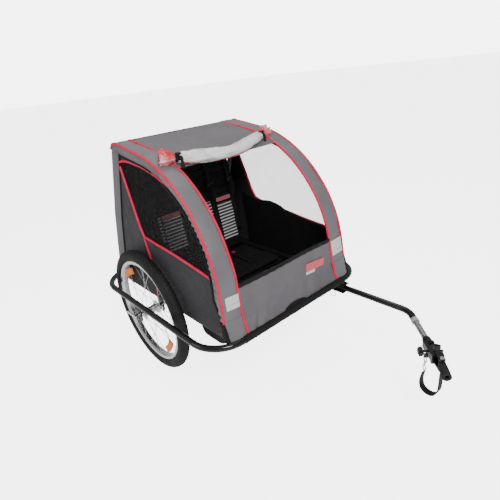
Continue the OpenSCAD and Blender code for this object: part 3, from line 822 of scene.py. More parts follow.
# ---------------------------------------------------------------- hitch and safety strap
BAR_PIVOT, BAR_STRAIGHT, BAR_LEAD, BAR_STEEL = (485, 262), 275, 62, 107
BAR_BEND = math.radians(44)
HITCH = (BAR_PIVOT[0] + BAR_STRAIGHT + (BAR_LEAD + BAR_STEEL) * math.cos(BAR_BEND),
         BAR_PIVOT[1] - (BAR_LEAD + BAR_STEEL) * math.sin(BAR_BEND))


def at_hitch(x, y, z):
    """A point measured from the end of the steel tube, with x along it."""
    c, s = math.cos(BAR_BEND), math.sin(BAR_BEND)
    return at(HITCH[0] + x * c + y * s, HITCH[1] - x * s + y * c, BAR_Z / MM + z)


STRAP_ROUTE = [(44, -20, -75.4), (43, -22, -88), (42, -24, -104), (44, -24, -119), (50, -21, -132),
               (58, -14, -140), (67, -6, -142), (76, 1, -138), (83, 7, -128), (87, 11, -112),
               (88, 12, -90), (88, 12, -66), (88, 12, -44.4)]
STRAP_ACROSS = (15, -17)


def safety_strap():
    route = [at_hitch(*p) for p in STRAP_ROUTE]
    across = at_hitch(*STRAP_ACROSS, 0) - at_hitch(0, 0, 0)
    width = across.length / MM
    line = smooth_line(route, 60)
    strap = ribbon("safety_strap_webbing", line, across, width, 2.4, WEBBING)
    put(strap, "drawbar", "black_webbing", "safety_strap")
    Path(line).length


def bar_collar():
    profile = [(9.8, 0), (12.2, 0.6), (12.6, 2), (12.6, 13), (11.6, 15.5), (11.2, 18)]
    along = at_hitch(-1, 0, 0) - at_hitch(0, 0, 0)
    grey = Look("grey moulded collar", (0.42, 0.42, 0.43), 0.4).vary(0.08, 60.0).mat
    put(lathe("bar_collar", profile, at_hitch(-BAR_STEEL + 6, 0, 0), along, grey, steps=48),
        "drawbar", "black_plastic")


safety_strap()
bar_collar()

# ---------------------------------------------------------------- wheels
TYRE_R = 23.5
TYRE_TOP = AXLE_Z / MM


def tyre(side, name):
    """Block tread over a smooth side wall with two moulded rings."""
    around, across = 540, 34
    centre = TYRE_TOP - TYRE_R
    verts, faces, uvs = [], [], []
    for i in range(around):
        a = 2 * math.pi * i / around
        for j in range(across):
            f = math.radians(-148 + 296 * j / (across - 1))
            deg = abs(math.degrees(f))
            row = int((math.degrees(f) + 60) // 20)
            phase = 90 * a + (math.pi if row % 2 else 0) + 0.5 * math.sin(3 * f)
            block_on = math.tanh(3 * math.sin(phase)) * 0.5 + 0.5
            between = min(1.0, abs(((math.degrees(f) + 60) % 20) - 10) / 10 * -3 + 3.0)
            tread = block_on * max(0.0, between) if deg < 60 else 0.0
            ring = 0.5 * math.exp(-((deg - 84) / 3.0) ** 2) + 0.5 * math.exp(-((deg - 112) / 3.0) ** 2)
            r = TYRE_R - 1.7 + 1.7 * tread + ring
            out = centre + r * math.cos(f)
            verts.append(at(out * math.cos(a), side * (WHEEL_Y / MM + r * math.sin(f)),
                            TYRE_TOP + out * math.sin(a)))
            uvs.append((a * centre * MM, f * TYRE_R * MM))
    for i in range(around):
        k = (i + 1) % around
        for j in range(across):
            m = (j + 1) % across
            quad = (i * across + j, k * across + j, k * across + m, i * across + m)
            faces.append(quad if side > 0 else tuple(reversed(quad)))
    piece = new_object("tyre_tread_" + name, verts, faces, RUBBER, uvs=uvs)
    put(piece, "wheel_" + name, "tyre", "tyre_" + name)


def wheel_point(side, r, angle, out):
    """A point in a wheel: the angle is turned as the CAD spokes are, out is towards the rail."""
    return at(r * math.cos(angle), side * (WHEEL_Y / MM + out), TYRE_TOP - r * math.sin(angle))


def nipples(side, name):
    rods = []
    groups = 7
    for k in range(groups):
        for face in (-1, 1):
            for lean in (-1, 1):
                a = 360 * k / groups + (face + 1) * 90 / groups
                b = math.radians(a + lean * 52 + lean * 90 / groups / 2)
                rods.append(tube("nipple", [wheel_point(side, 192.5, b, face * (3 + lean)),
                                            wheel_point(side, 184, b, face * (3.6 + lean))],
                                 lambda t: 1.9 - 0.5 * t, STEEL, sides=8))
    put(joined("spoke_nipples_" + name, rods), "wheel_" + name, "bright_steel")


def reflector_pair(side, name):
    parts = []
    for angle in (121, -40):
        rows = []
        for i in range(25):
            a = math.radians(-angle - 14.6 + 29.2 * i / 24)
            row = []
            for j in range(13):
                t = j / 12
                crown = 1.6 * (1 - (2 * t - 1) ** 4) * (1 - (i / 12 - 1) ** 8)
                row.append(wheel_point(side, 156.5 + 26 * t, a, 15.2 + crown))
            rows.append(row)
        parts.append(shell("lens", rows, REFLECTOR, thick=3.2, outward=(0, side, 0)))
        for edge in (157.5, 181.5):
            ring = [wheel_point(side, edge, math.radians(-angle - 14.3 + 28.6 * i / 16), 16.4)
                    for i in range(17)]
            parts.append(tube("edge", ring, 1.3, REFLECTOR, sides=8))
        for turn in (-9, 9):
            a = math.radians(-angle + turn)
            parts.append(tube("clip", [wheel_point(side, 166, a, 13.2), wheel_point(side, 174, a, 13.2)],
                              2.2, PLASTIC, sides=8))
    put(joined("wheel_reflectors_" + name, parts), "wheel_" + name, "orange_reflector",
        "reflectors_" + name)


def valve(side, name):
    a = math.radians(-75)
    stem = [wheel_point(side, r, a, 0) for r in (194, 186, 176, 170)]
    put(tube("valve_" + name, stem, lambda t: 3.0 - 1.0 * t, GRIP, sides=12), "wheel_" + name,
        "black_rubber")


for side_, name_ in ((1, "left"), (-1, "right")):
    tyre(side_, name_)
    nipples(side_, name_)
    reflector_pair(side_, name_)
    valve(side_, name_)

# ---------------------------------------------------------------- base frame trim
FRONT_X, REAR_X, INNER_Y = 493, 323, 259


def weld_beads():
    rings = []
    for side in (-1, 1):
        for x in (FRONT_X - TUBE_R - 1.6, -REAR_X + TUBE_R + 3.0):
            ring = [at(x, side * INNER_Y + 11.6 * math.cos(a), BASE_H + 11.6 * math.sin(a))
                    for a in np.linspace(0, 2 * math.pi, 49)[:-1]]
            rings.append(tube("bead", ring, 2.4, PAINT, sides=8, closed=True))
        ring = [at(205 + 9.8 * math.cos(a), side * (INNER_Y - TUBE_R - 1), BASE_H + 9.8 * math.sin(a))
                for a in np.linspace(0, 2 * math.pi, 41)[:-1]]
        rings.append(tube("bead", ring, 1.8, PAINT, sides=8, closed=True))
    put(joined("weld_beads", rings), "frame", "black_steel")


def front_sleeve():
    """The hem that wraps the front tube, pulled into small folds."""
    line = [at(FRONT_X, y, BASE_H) for y in np.linspace(-252, 252, 120)]
    sleeve = tube("front_sleeve", line, 12.4, BLACK_CLOTH, sides=28)
    for v in sleeve.data.vertices:
        c = at(FRONT_X, 0, BASE_H)
        out = Vector((v.co.x - c.x, 0, v.co.z - c.z))
        if out.length > 1e-6:
            pull = Vector((v.co.x * 2.5, v.co.y, v.co.z * 2.5))
            v.co += out.normalized() * (wave(pull, 1.2, 26, 3.0) + wave(v.co, 0.5, 9, 8.0))
    put(sleeve, "frame", "black_fabric")


weld_beads()
front_sleeve()


# ---------------------------------------------------------------- canopy lines
WIN_REAR, WIN_TOP, WIN_LOW = (-98, 812), (239, 763), (5, 548)
WIN_TOP_LINE = smooth_line([(-98, 812, 0), (-49, 820, 0), (34, 816, 0), (135, 796, 0), (239, 763, 0)], 61)
WIN_REAR_LINE = smooth_line([(5, 548, 0), (-18, 590, 0), (-48, 673, 0), (-80, 760, 0), (-98, 812, 0)], 61)
WIN_LOW_LINES = {-1: smooth_line([(5, 548, 0), (60, 543, 0), (232, 526, 0), (403, 503, 0)], 61),
                 1: smooth_line([(5, 548, 0), (60, 534, 0), (232, 508, 0), (405, 486, 0)], 61)}


def flat2(line):
    return [(p[0], p[1]) for p in line]


def wall(x, z, side, extra=0.0):
    return at(x, side * (side_y(z) + extra), z)


def front_edge(n, side):
    """Points up the front binding between the window's two front corners."""
    s0 = OUTLINE.where(lambda p: p[1] > WIN_LOW_LINES[side][-1].y)
    return [tuple(OUTLINE.inset(s, float(np.interp(s, BAND_AT, BAND_IS))))
            for s in np.linspace(s0, S_ROOF, n)]


def window_frame(n, side):
    """Two lines round the window, each from its low rear corner to its top front corner."""
    rear = Path(flat2(WIN_REAR_LINE) + flat2(WIN_TOP_LINE)[1:])
    edge = front_edge(60, side)
    edge[-1] = WIN_TOP
    low = Path(flat2(WIN_LOW_LINES[side]) + edge[1:])
    return rear.share(n), low.share(n)


def side_window(side, name, mat, slot_name):
    n, m = 90, 46
    rear, low = window_frame(n, side)
    rows = []
    for a, b in zip(rear, low):
        rows.append([wall(a[0] + (b[0] - a[0]) * j / m, a[1] + (b[1] - a[1]) * j / m, side, -1.5)
                     for j in range(m + 1)])

    def slack(i, j, p):
        middle_ = math.sin(math.pi * i) * math.sin(math.pi * j)
        return -7 * MM * middle_ + wave(p, 3.0, 150, side) * middle_ ** 0.5

    piece = shell("side_window_" + name, rows, mat, thick=0.6, ripple=slack, outward=(0, side, 0))
    return fold_side(piece, "side_window_" + name, slot_name, rows=rows)


def side_fabric(side, name):
    """The dark side panel round the window, out to the black binding."""
    n, m = 200, 22
    inner = Path([WIN_TOP] + flat2(WIN_TOP_LINE)[::-1][1:] + flat2(WIN_REAR_LINE)[::-1][1:]
                 + flat2(WIN_LOW_LINES[side])[1:])
    s1 = OUTLINE.where(lambda p: p[1] > 330)
    s2 = S_END - 12
    s_win = OUTLINE.where(lambda p: p[1] > WIN_LOW_LINES[side][-1].y)
    over = [tuple(binding(s)) for s in np.linspace(S_ROOF, s2, 120)]
    low_front = tuple(binding(s1))
    base = [(x, BASE_H + 1) for x in np.linspace(over[-1][0] - 2, low_front[0] + 2, 50)]
    up = [tuple(binding(s)) for s in np.linspace(s1, s_win, 30)]
    marks_in = [0, inner.where(lambda p: math.dist(p, WIN_REAR) < 3),
                inner.where(lambda p: math.dist(p, WIN_LOW) < 3), inner.length]
    outer = Path(over + base + up)
    corner = over[min(range(len(over)), key=lambda i: math.dist(over[i], (-101, 832)))]
    marks_out = [0, outer.where(lambda p: math.dist(p, corner) < 4),
                 outer.where(lambda p: p[1] < BASE_H + 2 and p[0] > -120), outer.length]
    rows = []
    for i in range(n):
        f = i / (n - 1)
        k = min(int(f * 3), 2)
        g = f * 3 - k
        a = inner(marks_in[k] + (marks_in[k + 1] - marks_in[k]) * g)
        b = outer(marks_out[k] + (marks_out[k + 1] - marks_out[k]) * g)
        rows.append([wall(a[0] + (b[0] - a[0]) * j / m, a[1] + (b[1] - a[1]) * j / m, side)
                     for j in range(m + 1)])

    def ripple(i, j, p):
        z = p[2] / MM
        slack_ = min(1.0, max(0.0, (560 - z) / 160))
        long = Vector((p[0] * 1.4 + p[2] * 0.5, p[1], p[2] * 0.55))
        return (wave(long, 6.5, 110, 2 + side) * (0.35 + 0.65 * slack_)
                + wave(long, 1.6, 34, 7 + side)) * math.sin(math.pi * j) ** 0.5

    piece = shell("side_fabric_" + name, rows, CHARCOAL, ripple=ripple, outward=(0, side, 0))
    return fold_side(piece, "side_fabric_" + name, "charcoal_fabric",
                     ("side_upper_" + name,), ("side_lower_" + name,))


def side_piping(side, name):
    """Coral piping round the window."""
    def lay(points, seed):
        return [wall(x, z, side, 0.2) + Vector((0, 0, wave((x * MM, side, z * MM), 1.5, 60, seed)))
                for x, z in points]

    top = tube("piping", lay(flat2(WIN_TOP_LINE), 1), PIPING, CORAL, sides=12)
    put(top, "canopy", "coral_piping")
    top.name = "window_piping_top_" + name
    rear = Path(flat2(WIN_REAR_LINE)[::-1] + [(9, 520), (22, 480), (40, BASE_H + 3)])
    fold_side(tube("piping", lay(rear.share(120), 2), PIPING, CORAL, sides=12),
              "window_piping_rear_" + name, "coral_piping")
    low = tube("piping", lay(Path(flat2(WIN_LOW_LINES[side])).share(80), 3), PIPING, CORAL, sides=12)
    fold_side(low, "window_piping_low_" + name, "coral_piping")


def side_binding(side, name):
    """Black binding and the closed zip along the side panel's edge."""
    a = OUTLINE.where(lambda p: p[1] > 362)
    front = [binding(s) for s in np.linspace(a, S_ROOF, 110)]
    over = [binding(s) for s in np.linspace(S_ROOF, S_CORNER, 70)]
    down = [binding(s) for s in np.linspace(S_CORNER, S_END - 10, 70)]
    p_front = tube("binding_front_" + name, [wall(x, z, side, 1.4) for x, z in front], 4.4,
                   BLACK_CLOTH, sides=16)
    bend_front(p_front, "black_fabric")
    p_over = tube("binding_top_" + name, [wall(x, z, side, 1.4) for x, z in over], 3.2, BLACK_CLOTH, sides=12)
    put(p_over, "canopy", "black_fabric")
    p_down = tube("binding_rear_" + name, [wall(x, z, side, 1.4) for x, z in down], 3.2,
                  BLACK_CLOTH, sides=12)
    bend_back(p_down, "black_fabric")


def wrap(name, side, s0, s1, n, place, mat_=None, pucker=0.0, m=12):
    """The grey cloth that turns over a hoop, from the strip's outer seam to the binding."""
    rows = []
    for s in np.linspace(s0, s1, n):
        e, b = OUTLINE(s), binding(s)
        edge = at(e[0], side * half_w(e[1]), e[1])
        inner = wall(b[0], b[1], side)
        row = []
        for j in range(m + 1):
            t = j / m
            q = edge.lerp(inner, t)
            bulge = 5.0 * math.sin(math.pi * min(1, t * 1.25)) * (1 - 0.35 * t)
            row.append(q + Vector((0, side * bulge * MM, 0)))
        rows.append(row)

    def ripple(i, j, p):
        s = (s0 + (s1 - s0) * i)
        across_ = math.sin(math.pi * min(1, j * 1.1)) ** 0.6
        fold = math.sin(2 * math.pi * s / 21.0 + 2.2 * noise.noise(Vector((s / 60, side, 4))))
        depth = 0.5 + 0.5 * noise.noise(Vector((s / 45, side * 3, 9)))
        return (fold * pucker * depth * MM + wave(p, 3.2, 60, 5) + wave(p, 1.2, 18, 6)) * across_

    piece = shell(name, rows, mat_ or GREY, ripple=ripple, outward=(0, side, 0))
    return place(piece)


S_LOW = OUTLINE.where(lambda p: p[1] > 366)


def side_wraps(side, name):
    # The gathered band takes the grey cloth painted lighter, a painted highlight
    wrap("front_gather_" + name, side, S_LOW, S_ROOF + 8, 300,
         lambda o: bend_front(o, "grey_fabric"), GATHER_PAINTED_HIGHLIGHT, pucker=3.6)
    wrap("top_yoke_" + name, side, S_ROOF + 8, S_CORNER, 120, lambda o: put(o, "canopy", "grey_fabric"),
         pucker=1.2)
    wrap("rear_wrap_" + name, side, S_CORNER, S_END, 160, lambda o: bend_back(o, "grey_fabric"),
         pucker=0.5)


def foot_out(z):
    """How far the cloth stands out at its foot, where it is drawn over the front tube."""
    t = max(0.0, (372 - z) / 70)
    return 22 * t ** 1.5


def tube_bend(y):
    """How far the front tube has turned back at that distance from the middle."""
    off = max(0.0, abs(y) - 261.5)
    return 110 - math.sqrt(110 * 110 - off * off)


STRIP_FOOT = 304
S_FOOT = OUTLINE.where(lambda p: p[1] > 374)
FRONT_LINE = Path([(FRONT_FOOT[0] - 0.03 * max(0, z - FRONT_FOOT[1]) + foot_out(z), z)
                   for z in np.linspace(STRIP_FOOT, 372, 30)]
                  + [tuple(OUTLINE(s)) for s in np.linspace(S_FOOT, S_CORNER - 4, 400)])


def strip_at(s, y_of, out=0.0):
    """A point on a front strip: s up its line, y_of gives y from the height."""
    x, z = FRONT_LINE.inset(s, -out) if out else FRONT_LINE(s)
    y = y_of(z)
    back = tube_bend(y) * min(1.0, foot_out(z) / 22)
    return x - back, y, z


def strip(side, name):
    """The front strip between its two coral seams, and on over the roof."""
    n, m = 300, 18
    rows = []
    for s in np.linspace(0, FRONT_LINE.length, n):
        rows.append([at(*strip_at(s, lambda z: side * (open_w(z) + (half_w(z) - open_w(z)) * j / m)))
                     for j in range(m + 1)])

    def ripple(i, j, p):
        seam = min(j, 1 - j)
        crown = 2.4 * MM * math.sin(math.pi * j)
        dip = -1.4 * MM * math.exp(-(seam / 0.06) ** 2)
        long = Vector((p[0], p[1] * 1.6, p[2]))
        pinch = 1.2 * MM * math.sin(2 * math.pi * i * 62 + 3 * noise.noise(Vector((i * 20, side, 0)))) \
            * math.exp(-(seam / 0.16) ** 2) * (0.5 + 0.5 * noise.noise(Vector((i * 9, side * 2, 5))))
        return crown + dip + pinch + wave(long, 4.0, 110, 11 + side) + wave(p, 1.1, 30, 3)

    piece = shell("strip_cloth_" + name, rows, STRIP_GREY, ripple=ripple, outward=(1, 0, 0.6))
    bend_front(piece, "grey_fabric", "strip_" + name)
    for edge, label_ in ((open_w, "inner"), (half_w, "outer")):
        line = []
        low = 0 if label_ == "inner" else FRONT_LINE.where(lambda p: p[1] > 372)
        for s in np.linspace(low, FRONT_LINE.length, 240):
            wob = wave((s * MM, 0, side), 1.6, 60, 20 + side) / MM
            line.append(at(*strip_at(max(s, 1), lambda z: side * (edge(z) + wob), -0.8)))
        rib = tube("strip_piping_%s_%s" % (label_, name), line, PIPING, CORAL, sides=12)
        bend_front(rib, "coral_piping")


def roof():
    """Cloth drawn from the brow bar to the rear top bar, slack between the strips."""
    n, m = 70, 60
    s0 = OUTLINE.where(lambda p: p[0] < 216)
    s1 = OUTLINE.where(lambda p: p[0] < -104)
    rows = []
    for s in np.linspace(s0, s1, n):
        x, z = OUTLINE(s)
        w = open_w(z)
        rows.append([at(x, -w + 2 * w * j / m, z) for j in range(m + 1)])

    def ripple(i, j, p):
        sag = -6.0 * MM * math.sin(math.pi * i) * math.sin(math.pi * j) ** 0.7
        pull = Vector((p[0] * 0.5, p[1] * 1.3, p[2]))
        return sag + wave(pull, 4.0, 150, 31) + wave(pull, 1.0, 40, 12)

    piece = shell("roof_cloth", rows, GREY, ripple=ripple, outward=(0, 0, 1))
    put(piece, "canopy", "grey_fabric", "roof_panel")
    q = OUTLINE(S_BACK + 4)
    line = [at(q[0], y, q[1] + 1.5) for y in np.linspace(-283, 283, 120)]
    put(tube("roof_rear_seam", line, 2.0, BLACK_CLOTH, sides=10), "canopy", "black_fabric")


def panel_line_x(z):
    return FRONT_FOOT[0] - (z - FRONT_FOOT[1]) * 0.0998 + foot_out(z)


# Folds pulled into the front cloth: y, z, direction, length, width and depth
FRONT_FOLDS = [(-196, 325, 62, 55, 9, 5.5), (-172, 340, 70, 60, 8, -4.5), (-148, 330, 58, 45, 8, 3.5),
               (52, 368, 66, 60, 11, 5.0), (84, 352, 60, 50, 9, -4.0), (118, 362, 72, 60, 10, 4.5),
               (158, 345, 64, 50, 9, -4.0), (192, 352, 74, 60, 9, 4.5), (-60, 372, 20, 90, 14, -3.0),
               (10, 420, 8, 130, 16, 2.5)]


def front_panel():
    n, m = 76, 170
    rows = []
    for i in range(n):
        z = STRIP_FOOT + (PANEL_TOP + 8 - STRIP_FOOT) * i / (n - 1)
        w = open_w(z)
        rows.append([at(panel_line_x(z), -w + 2 * w * j / m, z) for j in range(m + 1)])

    def ripple(i, j, p):
        y, z = p[1] / MM, p[2] / MM
        edge = math.sin(math.pi * min(1, 0.12 + i)) ** 0.5 * math.sin(math.pi * j) ** 0.35
        pull = Vector((p[0], p[1] * 0.8 + p[2] * 0.7, p[2] * 0.5 - p[1] * 0.35))
        lift = 0.0
        for y0, z0, way, long_, wide, deep in FRONT_FOLDS:
            c, k = math.cos(math.radians(way)), math.sin(math.radians(way))
            along = (y - y0) * c + (z - z0) * k
            off = -(y - y0) * k + (z - z0) * c + 6 * math.sin(along / 30)
            lift += deep * math.exp(-(along / long_) ** 2 - (off / wide) ** 2)
        return (wave(pull, 6.0, 120, 41) + wave(pull, 1.8, 38, 42) + lift * MM) * edge

    piece = shell("front_cloth", rows, GREY, ripple=ripple, outward=(1, 0, 0))
    bend_front(piece, "grey_fabric", "front_panel")
    band = []
    for y in np.linspace(-open_w(468) + 3, open_w(468) - 3, 140):
        band.append(at(panel_line_x(468) + 1.4 + 0.7 * math.sin(y / 6.0), y,
                       468 + 1.8 * math.sin(y / 60.0)))
    strap = ribbon("panel_top_band", band, (-0.0998, 0, 1), 14, 4.0, BAND, bow=5)
    bend_front(strap, "black_fabric")


def cloth_patch(name, corners, mat, body_blend, thick=1.4, n=24):
    """A flat patch sewn on: corners run round it and are points in metres."""
    a, b, c, d = corners
    rows = [[a.lerp(b, j / n).lerp(d.lerp(c, j / n), i / n) for j in range(n + 1)] for i in range(n + 1)]

    def ripple(i, j, p):
        rim = min(i, 1 - i, j, 1 - j)
        return -0.7 * MM * math.exp(-(rim / 0.02) ** 2) + wave(p, 0.5, 30, 3)

    piece = shell(name, rows, mat, thick=thick, ripple=ripple, outward=(1, 0, 0.1))
    return body_blend(piece)


def front_patches():
    def on(y, z, out=3.2):
        return at(panel_line_x(z) + out, y, z)

    cloth_patch("badge", [on(79, 392), on(176, 387), on(185, 414), on(88, 423)], BADGE,
                lambda o: bend_front(o, "coral_piping"), thick=1.2)
    cloth_patch("badge_tail", [on(60, 384), on(130, 380), on(131, 390), on(62, 394)], TAPE,
                lambda o: bend_front(o, "grey_fabric"), thick=1.0)
    rows = []
    for i in range(25):
        t = i / 24
        z = 305 + 21 * t
        half = 63 * math.sqrt(max(0.0, 1 - t * t)) + 0.5
        rows.append([at(panel_line_x(z) + 5.0, -6 + half * (2 * j / 30 - 1), z)
                     for j in range(31)])
    piece = shell("half_oval_patch", rows, BLACK_CLOTH, thick=2.0,
                  ripple=lambda i, j, p: wave(p, 0.8, 30, 6), outward=(1, 0, 0.4))
    put(piece, "frame", "black_fabric")


def side_tabs():
    """White reflective tabs at the foot of each front strip."""
    for name, corners in (("right", [(-283, 409), (-231, 405), (-229, 448), (-281, 452)]),
                          ("left", [(232, 400), (290, 404), (288, 462), (230, 458)])):
        pts = []
        for y, z in corners:
            s = OUTLINE.where(lambda p: p[1] > z)
            x = OUTLINE(s)[0] + 4.2
            pts.append(at(x, y, z))
        cloth_patch("reflective_tab_" + name, pts, TAPE, lambda o: bend_front(o, "grey_fabric"))
        low = [p + Vector((0.0008, 0, 0)) for p in (pts[0], pts[1])]
        high = [p + Vector((0, 0, 0.016)) for p in low]
        cloth_patch("tab_hem_" + name, [low[0], low[1], high[1], high[0]], TAPE,
                    lambda o: bend_front(o, "grey_fabric"), thick=1.0)


def rear_cloth():
    n, m = 90, 110
    rows = []
    for s in np.linspace(S_BACK + 2, S_END, n):
        x, z = OUTLINE(s)
        w = side_y(z) + 4
        rows.append([at(x, -w + 2 * w * j / m, z) for j in range(m + 1)])

    def ripple(i, j, p):
        pull = Vector((p[0], p[1] * 1.3, p[2] * 0.6))
        return (wave(pull, 5.0, 130, 51) + wave(pull, 1.2, 40, 52)) * math.sin(math.pi * j) ** 0.5

    piece = shell("rear_cloth", rows, GREY, ripple=ripple, outward=(-1, 0, 0.1))
    bend_back(piece, "grey_fabric", "rear_panel")
    2 * side_y(600) * MM
    for side in (-1, 1):
        line = []
        for s in np.linspace(S_BACK + 6, S_END, 90):
            q = OUTLINE.inset(s, -2.0)
            line.append(at(q[0], side * 232, q[1]))
        bend_back(tube("rear_seam_%d" % (side + 1), line, 1.8, BLACK_CLOTH, sides=10), "black_fabric")
    q = OUTLINE.inset(OUTLINE.where(lambda p: p[1] < 470 and p[0] < 0), -2.0)
    line = [at(q[0], y, q[1]) for y in np.linspace(-275, 275, 120)]
    bend_back(tube("rear_hem", line, 2.2, BLACK_CLOTH, sides=10), "black_fabric")


for side_, name_, window_, slot_ in ((1, "left", FILM, "clear_film"), (-1, "right", NET, "mesh")):
    side_window(side_, name_, window_, slot_)
    side_fabric(side_, name_)
    side_piping(side_, name_)
    side_binding(side_, name_)
    side_wraps(side_, name_)
    strip(side_, name_)
roof()
front_panel()
front_patches()
side_tabs()
rear_cloth()

# ---------------------------------------------------------------- rolled-up cover
ROLL_LINE = [(202, -206, 838), (213, -150, 832), (228, -70, 824), (224, 30, 825), (200, 115, 833),
             (172, 184, 839)]
TIES = ((202, -206, 838, 0.15), (172, 184, 839, -0.2))


def cover_roll():
    """Clear sheet rolled by hand: loose turns that gather into the two ties."""
    line = smooth_line([at(*p) for p in ROLL_LINE], 190)
    sides = 72
    verts, faces, uvs = [], [], []
    for i, (h, side, nor) in enumerate(frames(line)):
        t = i / (len(line) - 1)
        full = min(1.0, math.sin(math.pi * t) * 2.2) ** 0.7
        base_r = 9.5 + 10.5 * full * (1 - 0.25 * t) + 1.5 * math.sin(7 * t + 1)
        for k in range(sides):
            a = 2 * math.pi * k / sides
            turn = a + 1.7 * t
            lap = 2.0 * ((turn / (2 * math.pi) * 2) % 1.0)
            pleat = (1 - full) * 2.2 * math.sin(9 * a + 3 * math.sin(5 * t))
            q = Vector((math.cos(a) * 1.4, math.sin(a) * 1.4, t * 9.0))
            crush = 3.6 * noise.noise(q) + 1.6 * noise.noise(q * 2.7 + Vector((4, 1, 2)))
            r = base_r + lap + pleat + crush * (0.4 + 0.6 * full)
            verts.append(line[i] + (side * math.cos(a) + nor * math.sin(a)) * r * MM)
            uvs.append((k / sides * 0.12, t * 0.42))
    n = len(line)
    for i in range(n - 1):
        for k in range(sides):
            a, b = i * sides + k, i * sides + (k + 1) % sides
            faces.append((a, b, (i + 1) * sides + (k + 1) % sides, (i + 1) * sides + k))
    faces.append(tuple(reversed(range(sides))))
    faces.append(tuple((n - 1) * sides + k for k in range(sides)))
    piece = new_object("cover_roll_folds", verts, faces, VINYL, uvs=uvs)
    put(piece, "canopy", "clear_film", "cover_roll")
    edges = []
    for start, height in ((0.9, 17), (2.9, 14)):
        line2 = []
        for i, (_, side, nor) in enumerate(frames(line)):
            t = i / (n - 1)
            full = min(1.0, math.sin(math.pi * t) * 2.2) ** 0.7
            a = start + 1.5 * t + 0.5 * math.sin(6 * t)
            r = 9.5 + (height - 7) * full + 2.2
            line2.append(line[i] + (side * math.cos(a) + nor * math.sin(a)) * r * MM)
        edges.append(tube("edge", line2[6:-6], 3.0, CORAL_FILM, sides=10))
    put(joined("cover_edge", edges), "canopy", "coral_piping")


def knot(name, base, tip, seed):
    """The cover's end, gathered by the tie and flaring beyond it in deep pleats."""
    base, tip = at(*base), at(*tip)
    n, m = 34, 120
    axis = (tip - base).normalized()
    side = axis.cross(Vector((0, 0, 1))).normalized()
    nor = side.cross(axis)
    rows = []
    for i in range(n):
        t = i / (n - 1)
        row = []
        for k in range(m + 1):
            a = 2 * math.pi * k / m
            c, s = math.cos(a), math.sin(a)
            pleat = (math.sin(9 * a + seed) + 0.5 * math.sin(14 * a + 2 * seed)) * (0.7 + 1.7 * t)
            crush = 8.0 * t * noise.noise(Vector((c * 2.2, s * 2.2, t * 3 + seed)))
            r = 8.5 + 17 * math.sin(2.1 * t) + pleat + crush
            push = 7.0 * t * noise.noise(Vector((c * 3, s * 3, seed * 2)))
            row.append(base + axis * ((tip - base).length * t + push * MM)
                       + (side * c * 0.9 + nor * s) * r * MM)
        rows.append(row)
    outer = shell(name, rows, CORAL_FILM, thick=1.2)
    core = tube("core", [base.lerp(tip, f) for f in (0.0, 0.25, 0.5, 0.72)],
                lambda t: 7.0 + 8.0 * t, CORAL_FILM, sides=24)
    put(joined(name, [outer, core]), "canopy", "coral_piping")


def roll_ties():
    parts = []
    for x, y, z, lean in TIES:
        c = at(x, y, z)
        axis = Vector((0.12, 1, lean)).normalized()
        side = axis.orthogonal().normalized()
        other = axis.cross(side)
        ring = [c + (side * math.cos(a) + other * math.sin(a)) * 12.5 * MM
                for a in np.linspace(0, 2 * math.pi, 40)]
        parts.append(ribbon("tie", ring, axis, 13, 2.2, WEBBING))
        parts.append(block("buckle", c + Vector((0.006, 0.002, 0.013)), (16, 15, 7), PLASTIC, bevel=2.2))
        tail = smooth_line([c + Vector((0.010, 0.002, 0.010)), c + Vector((0.020, 0.004, 0.0)),
                            c + Vector((0.022, 0.003, -0.016)), c + Vector((0.026, 0.005, -0.034))], 24)
        parts.append(ribbon("tail", tail, (0, 1, 0), 10, 1.6, WEBBING))
    put(joined("cover_ties", parts), "canopy", "black_webbing", "roll_ties")


cover_roll()
knot("cover_knot_right", (200, -212, 839), (178, -258, 845), 1.0)
knot("cover_knot_left", (170, 190, 840), (146, 240, 843), 2.3)
roll_ties()


# ---------------------------------------------------------------- seat
def seat_at(s, y, out=0.0):
    """A point on the seat back: s up its slope, out ahead of it."""
    c, k = math.cos(SEAT_LEAN), math.sin(SEAT_LEAN)
    return at(SEAT_FOOT[0] - s * k + out * c, y, SEAT_FOOT[1] + s * c + out * k)


def bend_seat(obj, slot_name, *replaced):
    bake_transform(obj)
    if replaced:
        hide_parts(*replaced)
    return obj


SEAT_WEBS_Y = (-197, -57, 100)
SEAT_WEBS_S = (262, 358)
SHOULDER_Y = (-197, -57, 100, 208)


